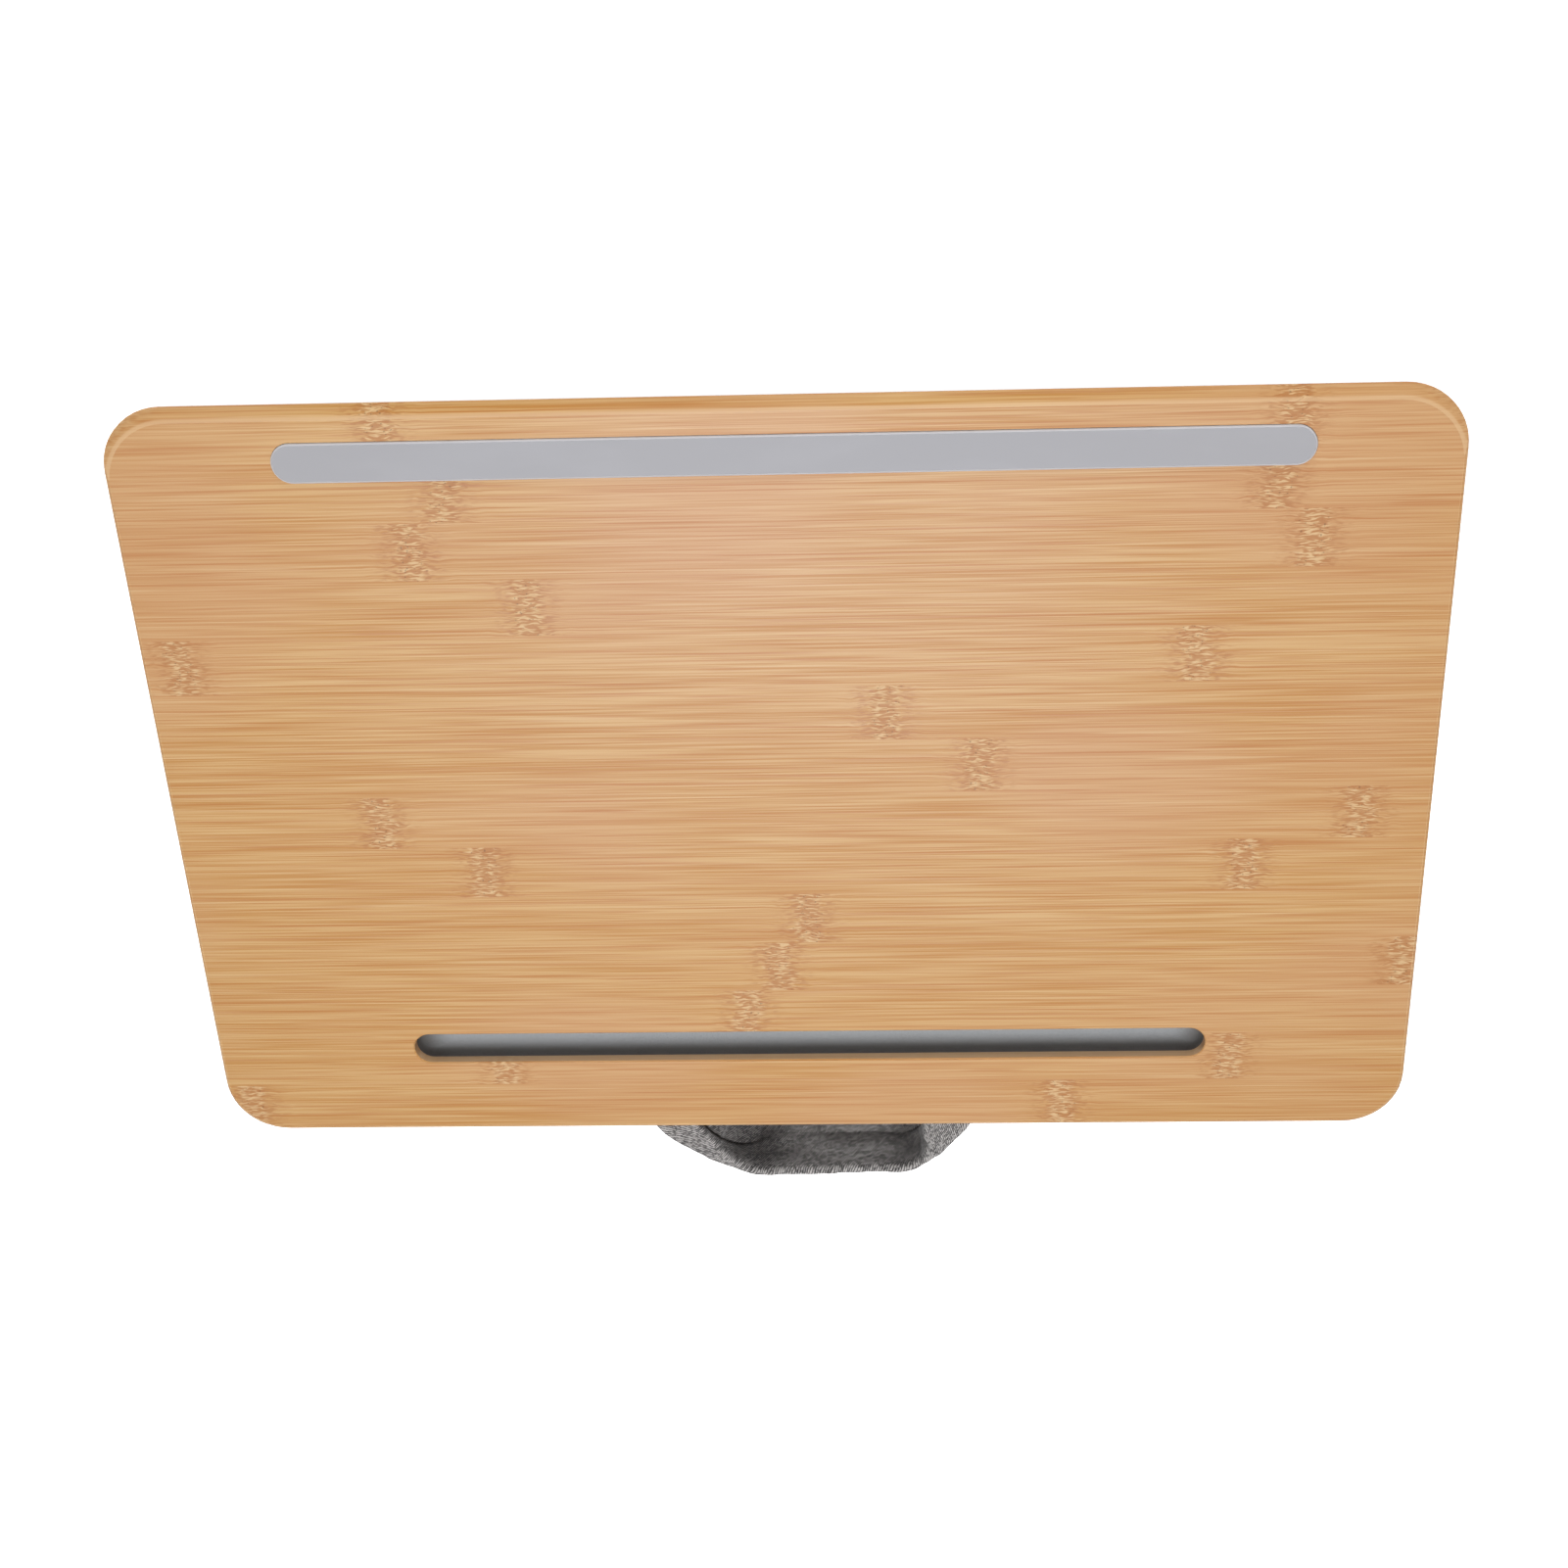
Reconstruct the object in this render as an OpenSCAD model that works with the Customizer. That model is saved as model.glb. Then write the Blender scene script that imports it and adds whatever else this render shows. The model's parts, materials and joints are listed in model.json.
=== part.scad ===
// Lap desk: a bamboo board on a cushion of two padded rolls, with a grip bar near the user's edge,
// a slot with a moulded trough that holds a tablet or a phone, and a fabric carry handle at the far edge.
// Millimetres. +X runs along the board, -Y is the user's side, +Z is up, and Z = 0 is the lap or table.

/* [Board] */
// Width of the board along the user's edge
board_w = 520; // [460:5:600]
// Depth of the board from the user's edge to the far edge
board_d = 330; // [310:5:380]
// Thickness of the bamboo panel
board_t = 4.8; // [4.2:0.2:8]
// Radius of the corners seen from above
board_corner_r = 25; // [18:1:40]
// Round-over of the top and bottom edges
board_edge_r = 1.6; // [0.8:0.1:1.9]
// Width of the softened user's edge seen from above
ease_w = 5.9; // [4:0.1:9]
// Drop of the softened user's edge below the top face
ease_drop = 2.7; // [1.5:0.1:3]

/* [Grip bar] */
// Length of the silicone bar
bar_l = 398; // [300:2:420]
// Width of the bar
bar_w = 16; // [12:0.5:20]
// Distance from the user's edge to the middle of the bar
bar_inset = 22.3; // [20:0.1:40]
// Offset of the bar from the middle of the board, towards the user's left
bar_offset = 4.4; // [0:0.2:10]
// Height of the bar above the board
bar_proud = 1.2; // [0.6:0.1:3]
// Round-over of the bar's top edge
bar_edge_r = 0.9; // [0.4:0.1:1.5]
// Depth of the routed groove that holds the bar
groove_depth = 2.2; // [1.6:0.1:2.6]
// Gap between the bar and the wall of its groove
bar_fit = 0.15; // [0.05:0.05:0.4]
// Thickness of the adhesive tape under the bar
bar_tape_t = 0.3; // [0.1:0.1:0.5]

/* [Device slot and trough] */
// Length of the slot
slot_l = 346; // [260:2:400]
// Width of the slot
slot_w = 14.4; // [12:0.2:17]
// Distance from the far edge to the middle of the slot
slot_inset = 42.3; // [41:0.1:50]
// Chamfer round the slot's mouth
slot_chamfer = 0.5; // [0.2:0.1:1]
// How far the inside of the trough stands back from the slot's wall
trough_relief = 0.8; // [0.4:0.1:1.2]
// Wall of the moulded trough
trough_wall = 1.6; // [1.2:0.1:2]
// Depth of the trough below the top of its flange
trough_depth = 12; // [11:0.5:16]
// Width of the flange beyond the trough's wall
flange_w = 5.2; // [4:0.2:5.6]
// Thickness of the flange
flange_t = 1.6; // [1.2:0.1:2]
// Thickness of the bonding tape between the flange and the board
trough_tape_t = 0.8; // [0.4:0.1:1]
// Number of stiffening ribs on each side of the trough
rib_count = 9; // [3:1:15]
// Thickness of each rib
rib_t = 1.2; // [0.8:0.1:2]

/* [Cushion fastening] */
// Thickness of the hook tape under the board
hook_t = 1.3; // [1:0.1:2]
// Thickness of the loop tape on the cushion
loop_t = 1.7; // [1.2:0.1:2.2]
// Length of each fastening tape
tape_l = 180; // [100:5:200]
// Width of each fastening tape
tape_w = 25; // [16:1:30]
// Distance from the cushion's front seam to the first row of tapes
tape_front_inset = 28; // [10:1:40]
// Distance from the last row of tapes to the trough's flange
tape_rear_gap = 12; // [4:1:30]

/* [Cushion] */
// Distance from the board's side edge to the cushion's top seam
panel_side_inset = 26; // [20:1:50]
// Distance from the user's edge to the cushion's top seam
panel_front_inset = 26; // [20:1:45]
// Distance from the far edge to the cushion's top seam
panel_rear_inset = 15.5; // [12:0.5:18]
// Thickness of the stiffened top panel
panel_t = 2; // [1.5:0.1:4]
// Height of each roll
bolster_h = 56; // [45:1:80]
// Distance between the two padded rolls at their top seams
roll_gap = 64.5; // [40:0.5:90]
// How far the filled sides stand out past the top seam
bolster_bulge = 6.5; // [4:0.5:11]
// Draw-in of the rounded underside
bolster_foot_draw = 44; // [34:1:48]
// Rise of the underside towards both ends of a roll
bolster_crown = 5; // [0:0.5:10]
// Depth to which the underside is pressed flat by what the desk stands on
rest_flat = 0.5; // [0.3:0.1:1]
// Thickness of the cushion's cover
cover_t = 1.4; // [1:0.1:2.5]
// Gap between the cover and the filling
filling_gap = 0.4; // [0.2:0.1:1]
// Thickness of the fabric web between the two rolls
web_t = 2; // [1:0.1:3]

/* [Handle] */
// Width of the folded strap
strap_w = 21; // [18:0.5:24]
// Thickness of the padded strap
strap_t = 4.4; // [3.4:0.1:6]
// Thickness of the strap where it is sewn
strap_root_t = 2.4; // [2:0.1:2.6]
// Distance between the middles of the two sewn ends
handle_span = 127; // [110:1:150]
// How far the handle stands out past the board's far edge
handle_reach = 35; // [26:0.5:50]
// How far the strap's upper rim hangs below its sewn ends
handle_drop = 5.2; // [3:0.1:8]
// How far the middle of the handle hangs towards the user's left
handle_lean = 10; // [0:0.5:12]
// How much further out the handle hangs on the user's right than on the left
handle_skew = 2.4; // [0:0.2:4]
// Thickness of the strap's fabric
strap_fabric_t = 0.5; // [0.3:0.05:0.6]
// Gap between the strap's fabric and its webbing core
strap_gap = 0.15; // [0.1:0.05:0.2]

/* [Hidden] */
$fn = 64;
overrun = 1;            // how far a cut runs past the face that it starts from
seam_gap = 0.3;         // gap between neighbouring fabric pieces that don't touch

// Heights of the stack, from the lap up
panel_z = bolster_h;
panel_top_z = panel_z + panel_t;
board_z = panel_top_z + loop_t + hook_t;
board_top_z = board_z + board_t;
flange_top_z = board_z - trough_tape_t;

// Places along Y, with the middle of the whole outline at Y = 0
board_y = -handle_reach / 2;
near_y = board_y - board_d / 2;
far_y = board_y + board_d / 2;
bar_y = near_y + bar_inset;
slot_y = far_y - slot_inset;
panel_w = board_w - 2 * panel_side_inset;
panel_d = board_d - panel_front_inset - panel_rear_inset;
panel_y = (near_y + panel_front_inset + far_y - panel_rear_inset) / 2;
panel_front_y = panel_y - panel_d / 2;
panel_rear_y = panel_y + panel_d / 2;
bolster_w = (panel_d - roll_gap) / 2;
front_bolster_y = panel_front_y + bolster_w / 2;
rear_bolster_y = panel_rear_y - bolster_w / 2;

// The trough's plan sizes
trough_in_r = slot_w / 2 + trough_relief;
trough_in_l = slot_l + 2 * trough_relief;
flange_r = trough_in_r + trough_wall + flange_w;
flange_l = trough_in_l + 2 * (trough_wall + flange_w);
flange_clear = 0.6;     // room round the flange in the panel and in the filling
rib_margin = 0.8;       // how far a rib stops short of the flange's edge
rib_h = trough_depth - trough_in_r + trough_wall;

// The corner of a bolster and of the panel, as a share of the roll's half width
corner_share = 0.45;
panel_corner_r = corner_share * bolster_w / 2;
fastening_front_y = panel_front_y + tape_front_inset + tape_w / 2;
fastening_rear_y = slot_y - flange_r - tape_rear_gap - tape_w / 2;
fastening_rows = [fastening_front_y, (fastening_front_y + fastening_rear_y) / 2, fastening_rear_y];
fastening_column_shares = [-0.25, 0.25];
fastening_corner_r = 3;

// A bolster's section: heights of its rings, widest height and roundness of its underside
ring_shares = [1, 0.9, 0.78, 0.64, 0.5, 0.37, 0.25, 0.15, 0.07, 0.02, 0];
belly_share = 0.57;
foot_power = 2.2;
side_shares = [2 / 3, 1 / 3, 0, -1 / 3, -2 / 3];
corner_steps = 4;

// The handle turns about the line where its two ends are sewn to the panel
hinge_gap = 1.5;        // from the panel's rear edge to the turning line
hinge_y = panel_rear_y + hinge_gap;
hinge_z = panel_top_z + strap_root_t / 2;
strap_out = far_y - hinge_y + handle_reach;
tip_back = 0.9;         // how far the strap's thinned tip lies behind the turning line
tip_share = 0.62;       // thickness of that tip, as a share of the sewn end
anchor_l = 10.5;        // length of each sewn end on the panel
anchor_corner_r = 1.5;

// The strap's outer rim from a sewn end to the middle of the handle, as shares of its sizes
rim_x_shares = [1, 0.975, 0.91, 0.775, 0.62, 0.47, 0.24, 0];
rim_out_shares = [0, 0.23, 0.45, 0.665, 0.86, 0.99, 1, 1];
rim_drop_shares = [0, 0.1, 0.3, 0.55, 0.8, 1, 1, 1];
rim_lean_shares = [0, 0.02, 0.13, 0.38, 0.68, 0.95, 1, 1];
rim_peak_share = 0.47;  // where the rim stands out furthest, as a share of half its width
pad_shares = [0, 0.2, 0.6, 1, 1, 1, 1, 1];
// The strap's folds: how much of its width lies flat, and how far the rest is turned down
flat_shares = [0.8, 0.8, 0.78, 0.62, 0.36, 0.15, 0.13, 0.13];
fold_shares = [0, 0.35, 1, 1, 1, 1, 1, 1];
hang_share = 0.8;       // the hanging part, as a share of the width that is turned down
hang_turn = 76;         // degrees that the hanging part is turned down from level
lip_turn = 40;          // degrees that the lip under it is turned down from level
fold_r = 2;
strap_edge_r = 1;
strap_edge_share = 0.35;
strap_steps = 13;       // rings from the middle of the handle to each sewn end

// Half of a flat bar's end view, with its outer edges rounded over
module rim_profile(half_w, t, r) {
    square([half_w - r, t]);
    translate([0, r]) square([half_w, t - 2 * r]);
    translate([half_w - r, r]) circle(r);
    translate([half_w - r, t - r]) circle(r);
}

// The whole end view of that bar
module bar_profile(half_w, t, r) {
    rim_profile(half_w, t, r);
    mirror([1, 0]) rim_profile(half_w, t, r);
}

// A plate with round corners seen from above and rounded-over edges
module rounded_slab(w, d, t, corner_r, edge_r) {
    for (sx = [-1, 1], sy = [-1, 1])
        translate([sx * (w / 2 - corner_r), sy * (d / 2 - corner_r), 0])
            rotate_extrude() rim_profile(corner_r, t, edge_r);
    rotate([90, 0, 90]) linear_extrude(w - 2 * corner_r, center = true) bar_profile(d / 2, t, edge_r);
    rotate([90, 0, 0]) linear_extrude(d - 2 * corner_r, center = true) bar_profile(w / 2, t, edge_r);
}

// A plate with round corners and square edges
module plate(w, d, t, corner_r) {
    linear_extrude(t) plate_outline(w, d, corner_r);
}

module plate_outline(w, d, corner_r) {
    square([w - 2 * corner_r, d], center = true);
    square([w, d - 2 * corner_r], center = true);
    for (sx = [-1, 1], sy = [-1, 1])
        translate([sx * (w / 2 - corner_r), sy * (d / 2 - corner_r)]) circle(corner_r);
}

// A long hole or bar with round ends
module stadium_outline(l, w) {
    square([l - w, w], center = true);
    for (sx = [-1, 1]) translate([sx * (l - w) / 2, 0]) circle(w / 2);
}

module stadium(l, w, h) {
    linear_extrude(h) stadium_outline(l, w);
}

// The cut that chamfers the mouth of a long hole whose top lies at Z = 0
module mouth_chamfer(l, w, c) {
    reach = c + overrun;
    for (sx = [-1, 1])
        translate([sx * (l - w) / 2, 0, -c]) cylinder(h = reach, r1 = w / 2, r2 = w / 2 + reach);
    rotate([90, 0, 90]) linear_extrude(l - w, center = true)
        polygon([[-w / 2, -c], [w / 2, -c], [w / 2 + reach, overrun], [-w / 2 - reach, overrun]]);
}

// Half of the grip bar's end view, rounded over at its top edge
module grip_profile(half_w, h, r) {
    square([half_w - r, h]);
    square([half_w, h - r]);
    translate([half_w - r, h - r]) circle(r);
}

// Half of the trough's end view: straight sides over a round bottom, with its top at Y = 0
module trough_profile(r, depth, top) {
    intersection() {
        union() {
            translate([0, r - depth]) circle(r);
            translate([0, r - depth]) square([r, depth - r + top]);
        }
        translate([0, -depth]) square([r, depth + top]);
    }
}

// A round-bottomed, round-ended channel whose top lies at Z = 0, carried on up by the given height
module channel(l, r, depth, top) {
    for (sx = [-1, 1])
        translate([sx * (l / 2 - r), 0, 0]) rotate_extrude() trough_profile(r, depth, top);
    rotate([90, 0, 90]) linear_extrude(l - 2 * r, center = true) {
        trough_profile(r, depth, top);
        mirror([1, 0]) trough_profile(r, depth, top);
    }
}

// The cut that softens the user's edge: an arc that starts level at the top face, which lies at Y = 0
module ease_profile() {
    arc_r = (ease_w * ease_w + ease_drop * ease_drop) / (2 * ease_drop);
    difference() {
        translate([0, -ease_drop]) square([ease_w + overrun, ease_drop + overrun]);
        translate([0, -arc_r]) circle(arc_r);
    }
}

// That cut along the user's edge and round its two corners, where it runs out into the side's round-over
module edge_ease() {
    turn_x = board_w / 2 - board_edge_r - board_corner_r;
    turn_y = ease_w + board_corner_r - board_d / 2;
    translate([0, ease_w - board_d / 2, 0])
        rotate([90, 0, -90]) linear_extrude(2 * turn_x, center = true) ease_profile();
    for (side = [0, 1])
        mirror([side, 0, 0]) translate([turn_x, turn_y, 0])
            rotate([0, 0, -90]) rotate_extrude(angle = 90) translate([board_corner_r, 0]) ease_profile();
}

// The panel of laminated bamboo: routed slot, routed groove, rounded edges and a softened user's edge
module bamboo_board() {
    color([0.82, 0.64, 0.45])
    translate([0, board_y, board_z])
    difference() {
        rounded_slab(board_w, board_d, board_t, board_corner_r, board_edge_r);
        translate([0, slot_y - board_y, -overrun]) stadium(slot_l, slot_w, board_t + 2 * overrun);
        translate([0, slot_y - board_y, board_t]) mouth_chamfer(slot_l, slot_w, slot_chamfer);
        translate([-bar_offset, bar_y - board_y, board_t - groove_depth])
            stadium(bar_l, bar_w, groove_depth + overrun);
        translate([0, 0, board_t]) edge_ease();
    }
}

// The silicone bar that keeps a laptop from sliding towards the user
module grip_bar() {
    w = bar_w - 2 * bar_fit;
    l = bar_l - 2 * bar_fit;
    h = groove_depth - bar_tape_t + bar_proud;
    color([0.71, 0.71, 0.73])
    translate([-bar_offset, bar_y, board_top_z - groove_depth + bar_tape_t]) {
        for (sx = [-1, 1])
            translate([sx * (l - w) / 2, 0, 0]) rotate_extrude() grip_profile(w / 2, h, bar_edge_r);
        rotate([90, 0, 90]) linear_extrude(l - w, center = true) {
            grip_profile(w / 2, h, bar_edge_r);
            mirror([1, 0]) grip_profile(w / 2, h, bar_edge_r);
        }
    }
}

// The adhesive tape under the bar
module grip_bar_tape() {
    w = bar_w - 2 * bar_fit - 2 * bar_edge_r;
    color("white")
    translate([-bar_offset, bar_y, board_top_z - groove_depth])
        stadium(bar_l - 2 * bar_fit - 2 * bar_edge_r, w, bar_tape_t);
}

// The moulded trough: a thin round-bottomed shell, a flange that is bonded to the board, and ribs between them
module device_trough() {
    out_r = trough_in_r + trough_wall;
    out_l = trough_in_l + 2 * trough_wall;
    color([0.60, 0.61, 0.62])
    translate([0, slot_y, flange_top_z])
    difference() {
        union() {
            channel(out_l, out_r, trough_depth + trough_wall, 0);
            translate([0, 0, -flange_t]) stadium(flange_l, 2 * flange_r, flange_t);
            for (i = [0 : rib_count - 1])
                translate([(i / (rib_count - 1) - 1 / 2) * (trough_in_l - 2 * trough_in_r), 0, 0]) trough_rib();
        }
        channel(trough_in_l, trough_in_r, trough_depth, overrun);
    }
}

// One rib across the trough: a three-cornered web on each side, from the flange down to the shell's side
module trough_rib() {
    tip = flange_r - rib_margin;
    rotate([90, 0, 90]) linear_extrude(rib_t, center = true)
        polygon([[-tip, -flange_t / 2], [tip, -flange_t / 2], [tip, -flange_t],
            [trough_in_r + trough_wall / 2, -rib_h], [-trough_in_r - trough_wall / 2, -rib_h], [-tip, -flange_t]]);
}

// The ring of double-sided tape that bonds the flange to the board
module trough_tape() {
    color([0.93, 0.92, 0.88])
    translate([0, slot_y, flange_top_z])
    linear_extrude(trough_tape_t) difference() {
        stadium_outline(flange_l, 2 * flange_r);
        stadium_outline(trough_in_l, 2 * trough_in_r);
    }
}

// Fastening tapes in rows between the board and the cushion
module fastening_tapes(t) {
    for (row = fastening_rows, column = fastening_column_shares)
        translate([column * panel_w, row, 0]) plate(tape_l, tape_w, t, fastening_corner_r);
}

module hook_strips() {
    color([0.16, 0.16, 0.17]) translate([0, 0, board_z - hook_t]) fastening_tapes(hook_t);
}

module loop_strips() {
    color([0.22, 0.22, 0.23]) translate([0, 0, panel_top_z]) fastening_tapes(loop_t);
}

// The stiffened panel that closes the cushion on top, with a cut-out round the trough
module top_panel() {
    color([0.45, 0.45, 0.46])
    translate([0, 0, panel_z])
    linear_extrude(panel_t) difference() {
        translate([0, panel_y]) plate_outline(panel_w, panel_d, panel_corner_r);
        translate([0, slot_y]) trough_room();
    }
}

// The room that the panel and the filling leave round the trough's flange
module trough_room() {
    stadium_outline(flange_l + 2 * flange_clear, 2 * (flange_r + flange_clear));
}

// The fabric web between the two rolls
module center_web() {
    bulge = bolster_bulge - bolster_draw(1 - web_t / bolster_h);
    front = front_bolster_y + bolster_w / 2 + bulge + seam_gap;
    rear = rear_bolster_y - bolster_w / 2 - bulge - seam_gap;
    color([0.48, 0.48, 0.49])
    translate([0, (front + rear) / 2, panel_z - web_t])
        plate(panel_w, rear - front, web_t, web_t);
}

// How far a roll's skin lies inside its widest outline, at a height given as a share of the roll's height
function bolster_draw(q) =
    q > belly_share
        ? bolster_bulge * pow((q - belly_share) / (1 - belly_share), 2)
        : bolster_foot_draw * (1 - pow(1 - pow((belly_share - q) / belly_share, foot_power), 1 / foot_power));

// Half of a ring: a round corner, the long side and the other round corner
function half_ring(a, b, r) = concat(
    [for (i = [0 : corner_steps]) let (w = 90 * i / corner_steps) [a - r + r * cos(w), b - r + r * sin(w)]],
    [for (s = side_shares) [s * (a - r), b]],
    [for (i = [0 : corner_steps]) let (w = 90 + 90 * i / corner_steps) [r - a + r * cos(w), b - r + r * sin(w)]]);

// A closed ring, counterclockwise seen from above, whose second half mirrors the first
function plan_ring(a, b, r) =
    let (half = half_ring(a, b, r), last = len(half) - 1)
    concat(half, [for (i = [last : -1 : 0]) [half[i].x, -half[i].y]]);

// One ring of a roll's skin, set in by the given amount and standing between two heights
function bolster_ring(q, inset, z_low, z_high) =
    let (draw = bolster_draw(q) + inset,
        half_l = panel_w / 2 + bolster_bulge,
        a = half_l - draw,
        b = bolster_w / 2 + bolster_bulge - draw)
    [for (p = plan_ring(a, b, corner_share * b))
        let (rise = bolster_crown * pow(1 - q, 2) * pow(p.x / half_l, 2),
            z = z_low - rest_flat + (z_high - z_low + rest_flat) * q + rise)
        [p.x, p.y, max(z_low, z)]];

function bolster_skin(inset, z_low, z_high) =
    [for (q = ring_shares) each bolster_ring(q, inset, z_low, z_high)];

ring_n = len(plan_ring(1, 1, corner_share));
skin_n = len(ring_shares) * ring_n;

// Faces between the rings of a skin, clockwise seen from outside
function skin_faces(start) =
    [for (k = [0 : len(ring_shares) - 2], j = [0 : ring_n - 1])
        let (a = start + k * ring_n + j,
            b = start + k * ring_n + (j + 1) % ring_n,
            c = b + ring_n,
            d = a + ring_n)
        each [[a, b, c], [a, c, d]]];

// Faces that close one ring across its long middle line, clockwise seen from below
function cap_faces(start) =
    [for (j = [0 : ring_n / 2 - 2])
        let (a = start + j, b = a + 1, c = start + ring_n - 2 - j, d = c + 1)
        each [[a, b, c], [a, c, d]]];

// Faces of a flat rim between an outer and an inner ring, clockwise seen from above
function rim_faces(outer, inner) =
    [for (j = [0 : ring_n - 1])
        let (n = (j + 1) % ring_n)
        each [[outer + j, inner + j, inner + n], [outer + j, inner + n, outer + n]]];

function flipped(faces) = [for (f = faces) [f[0], f[2], f[1]]];

// The sewn cover of one roll: a soft tub with a crowned underside, open on top where the panel closes it
module bolster_cover() {
    last = skin_n - ring_n;
    polyhedron(
        points = concat(bolster_skin(0, 0, bolster_h), bolster_skin(cover_t, cover_t, bolster_h)),
        faces = concat(skin_faces(0), cap_faces(last), flipped(skin_faces(skin_n)),
            flipped(cap_faces(skin_n + last)), rim_faces(0, skin_n)));
}

// The filling of one roll
module bolster_filling() {
    inset = cover_t + filling_gap;
    polyhedron(
        points = bolster_skin(inset, inset, bolster_h - filling_gap),
        faces = concat(skin_faces(0), cap_faces(skin_n - ring_n), flipped(cap_faces(0))));
}

module front_bolster() {
    color([0.55, 0.55, 0.56]) translate([0, front_bolster_y, 0]) bolster_cover();
}

module rear_bolster() {
    color([0.55, 0.55, 0.56]) translate([0, rear_bolster_y, 0]) bolster_cover();
}

module front_filling() {
    color([0.93, 0.93, 0.90]) translate([0, front_bolster_y, 0]) bolster_filling();
}

// The rear filling is pressed down under the trough
module rear_filling() {
    floor_z = flange_top_z - trough_depth - trough_wall - flange_clear;
    color([0.93, 0.93, 0.90])
    difference() {
        translate([0, rear_bolster_y, 0]) bolster_filling();
        translate([0, slot_y, floor_z]) linear_extrude(panel_z - floor_z + overrun) trough_room();
    }
}

// A value between the entries of a table, on a smooth curve through them
function smooth(table, t) =
    let (last = len(table) - 1,
        i = min(floor(t * last), last - 1),
        f = t * last - i,
        a = table[max(i - 1, 0)], b = table[i], c = table[i + 1], d = table[min(i + 2, last)])
    b + f * ((c - a) + f * ((2 * a - 5 * b + 4 * c - d) + f * (3 * (b - c) + d - a))) / 2;

// A point of the strap's outer rim, from one sewn end at -1 to the other at 1
function rim_point(t) =
    let (s = 1 - abs(t),
        x_share = sign(t) * smooth(rim_x_shares, s),
        skew = handle_skew / 2 * (x_share / rim_peak_share - 1))
    [(handle_span + strap_w) / 2 * x_share - handle_lean * smooth(rim_lean_shares, s),
        (strap_out + skew) * smooth(rim_out_shares, s),
        -handle_drop * smooth(rim_drop_shares, s)];

function unit(v) = v / norm(v);

// A point across the folded strap at the distance w from its rim: a flat part, a hanging part and a lip
function fold_leg(w, flat, hang, turn) =
    let (down = max(0, min(w - flat, hang)), on = max(0, w - flat - hang))
    [min(w, flat) + down * cos(hang_turn * turn) + on * cos(lip_turn * turn),
        -down * sin(hang_turn * turn) - on * sin(lip_turn * turn)];

// The same point with both folds rounded
function fold_point(w, flat, hang, turn, r) =
    (fold_leg(w - r, flat, hang, turn) + fold_leg(w - r / 2, flat, hang, turn) + fold_leg(w, flat, hang, turn)
        + fold_leg(w + r / 2, flat, hang, turn) + fold_leg(w + r, flat, hang, turn)) / 5;

// One ring of the strap, set in by the given cut: flat at its sewn ends and folded in the middle
function strap_ring(t, cut) =
    let (step = 1 / (4 * strap_steps),
        s = 1 - abs(t),
        rim = rim_point(t),
        ahead = unit(rim_point(min(t + step, 1)) - rim_point(max(t - step, -1))),
        square_end = min(1, s * strap_steps / 2),
        inward = unit(square_end * unit(cross(ahead, [0, 0, 1])) - (1 - square_end) * [sign(t), 0, 0]),
        turn = smooth(fold_shares, s),
        flat = strap_w * smooth(flat_shares, s),
        hang = (strap_w - flat) * hang_share,
        lip = strap_w - flat - hang,
        r = min(fold_r, flat / 2, hang / 3, lip * 3 / 5),
        edge = min(strap_edge_r, flat / 4, lip / 4),
        half_t = (strap_root_t + (strap_t - strap_root_t) * smooth(pad_shares, s)) / 2 - cut,
        places = [0, edge, flat - r, flat, flat + r, flat + hang - r, flat + hang, flat + hang + r,
            strap_w - edge, strap_w],
        last = len(places) - 1,
        skin = [for (i = [0 : last])
            let (w = cut + places[i] * (strap_w - 2 * cut) / strap_w,
                middle = fold_point(w, flat, hang, turn, r),
                along = unit(fold_point(w + r / 4, flat, hang, turn, r)
                    - fold_point(w - r / 4, flat, hang, turn, r)),
                off = half_t * (i == 0 || i == last ? strap_edge_share : 1) * [-along.y, along.x])
            [middle + off, middle - off]],
        section = concat([for (i = [0 : last]) skin[i][0]], [for (i = [last : -1 : 0]) skin[i][1]]))
    [for (q = section) rim + q.x * inward + [0, 0, q.y]];

// The strap's thinned tip just behind the turning line, on the side given by -1 or 1
function tip_ring(side, cut) =
    let (thin = (strap_root_t / 2 * tip_share - cut) / (strap_root_t / 2 - cut))
    [for (q = strap_ring(side, cut)) [q.x, -tip_back, q.z * thin]];

// All rings of the strap's surface, set in by the given cut
function strap_rings(cut, tips) = concat(
    tips ? [tip_ring(-1, cut)] : [],
    [for (i = [-strap_steps : strap_steps]) strap_ring(i / strap_steps, cut)],
    tips ? [tip_ring(1, cut)] : []);

section_n = len(strap_ring(0, 0));

function tube_faces(start, rings) =
    [for (k = [0 : rings - 2], j = [0 : section_n - 1])
        let (a = start + k * section_n + j,
            b = start + k * section_n + (j + 1) % section_n,
            c = b + section_n,
            d = a + section_n)
        each [[a, c, b], [a, d, c]]];

function tube_rim(outer, inner) =
    [for (j = [0 : section_n - 1])
        let (n = (j + 1) % section_n)
        each [[outer + j, inner + j, inner + n], [outer + j, inner + n, outer + n]]];

function tube_cap(start) = [for (j = [1 : section_n - 2]) [start, start + j, start + j + 1]];

// The fabric sleeve of the carry handle, open at its sewn ends
module handle_cover() {
    outer = strap_rings(0, true);
    inner = strap_rings(strap_fabric_t, true);
    rings = len(outer);
    count = rings * section_n;
    last = (rings - 1) * section_n;
    color([0.50, 0.50, 0.51])
    translate([0, hinge_y, hinge_z])
    polyhedron(
        points = concat([for (r = outer) each r], [for (r = inner) each r]),
        faces = concat(tube_faces(0, rings), flipped(tube_faces(count, rings)),
            flipped(tube_rim(0, count)), tube_rim(last, count + last)));
}

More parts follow.
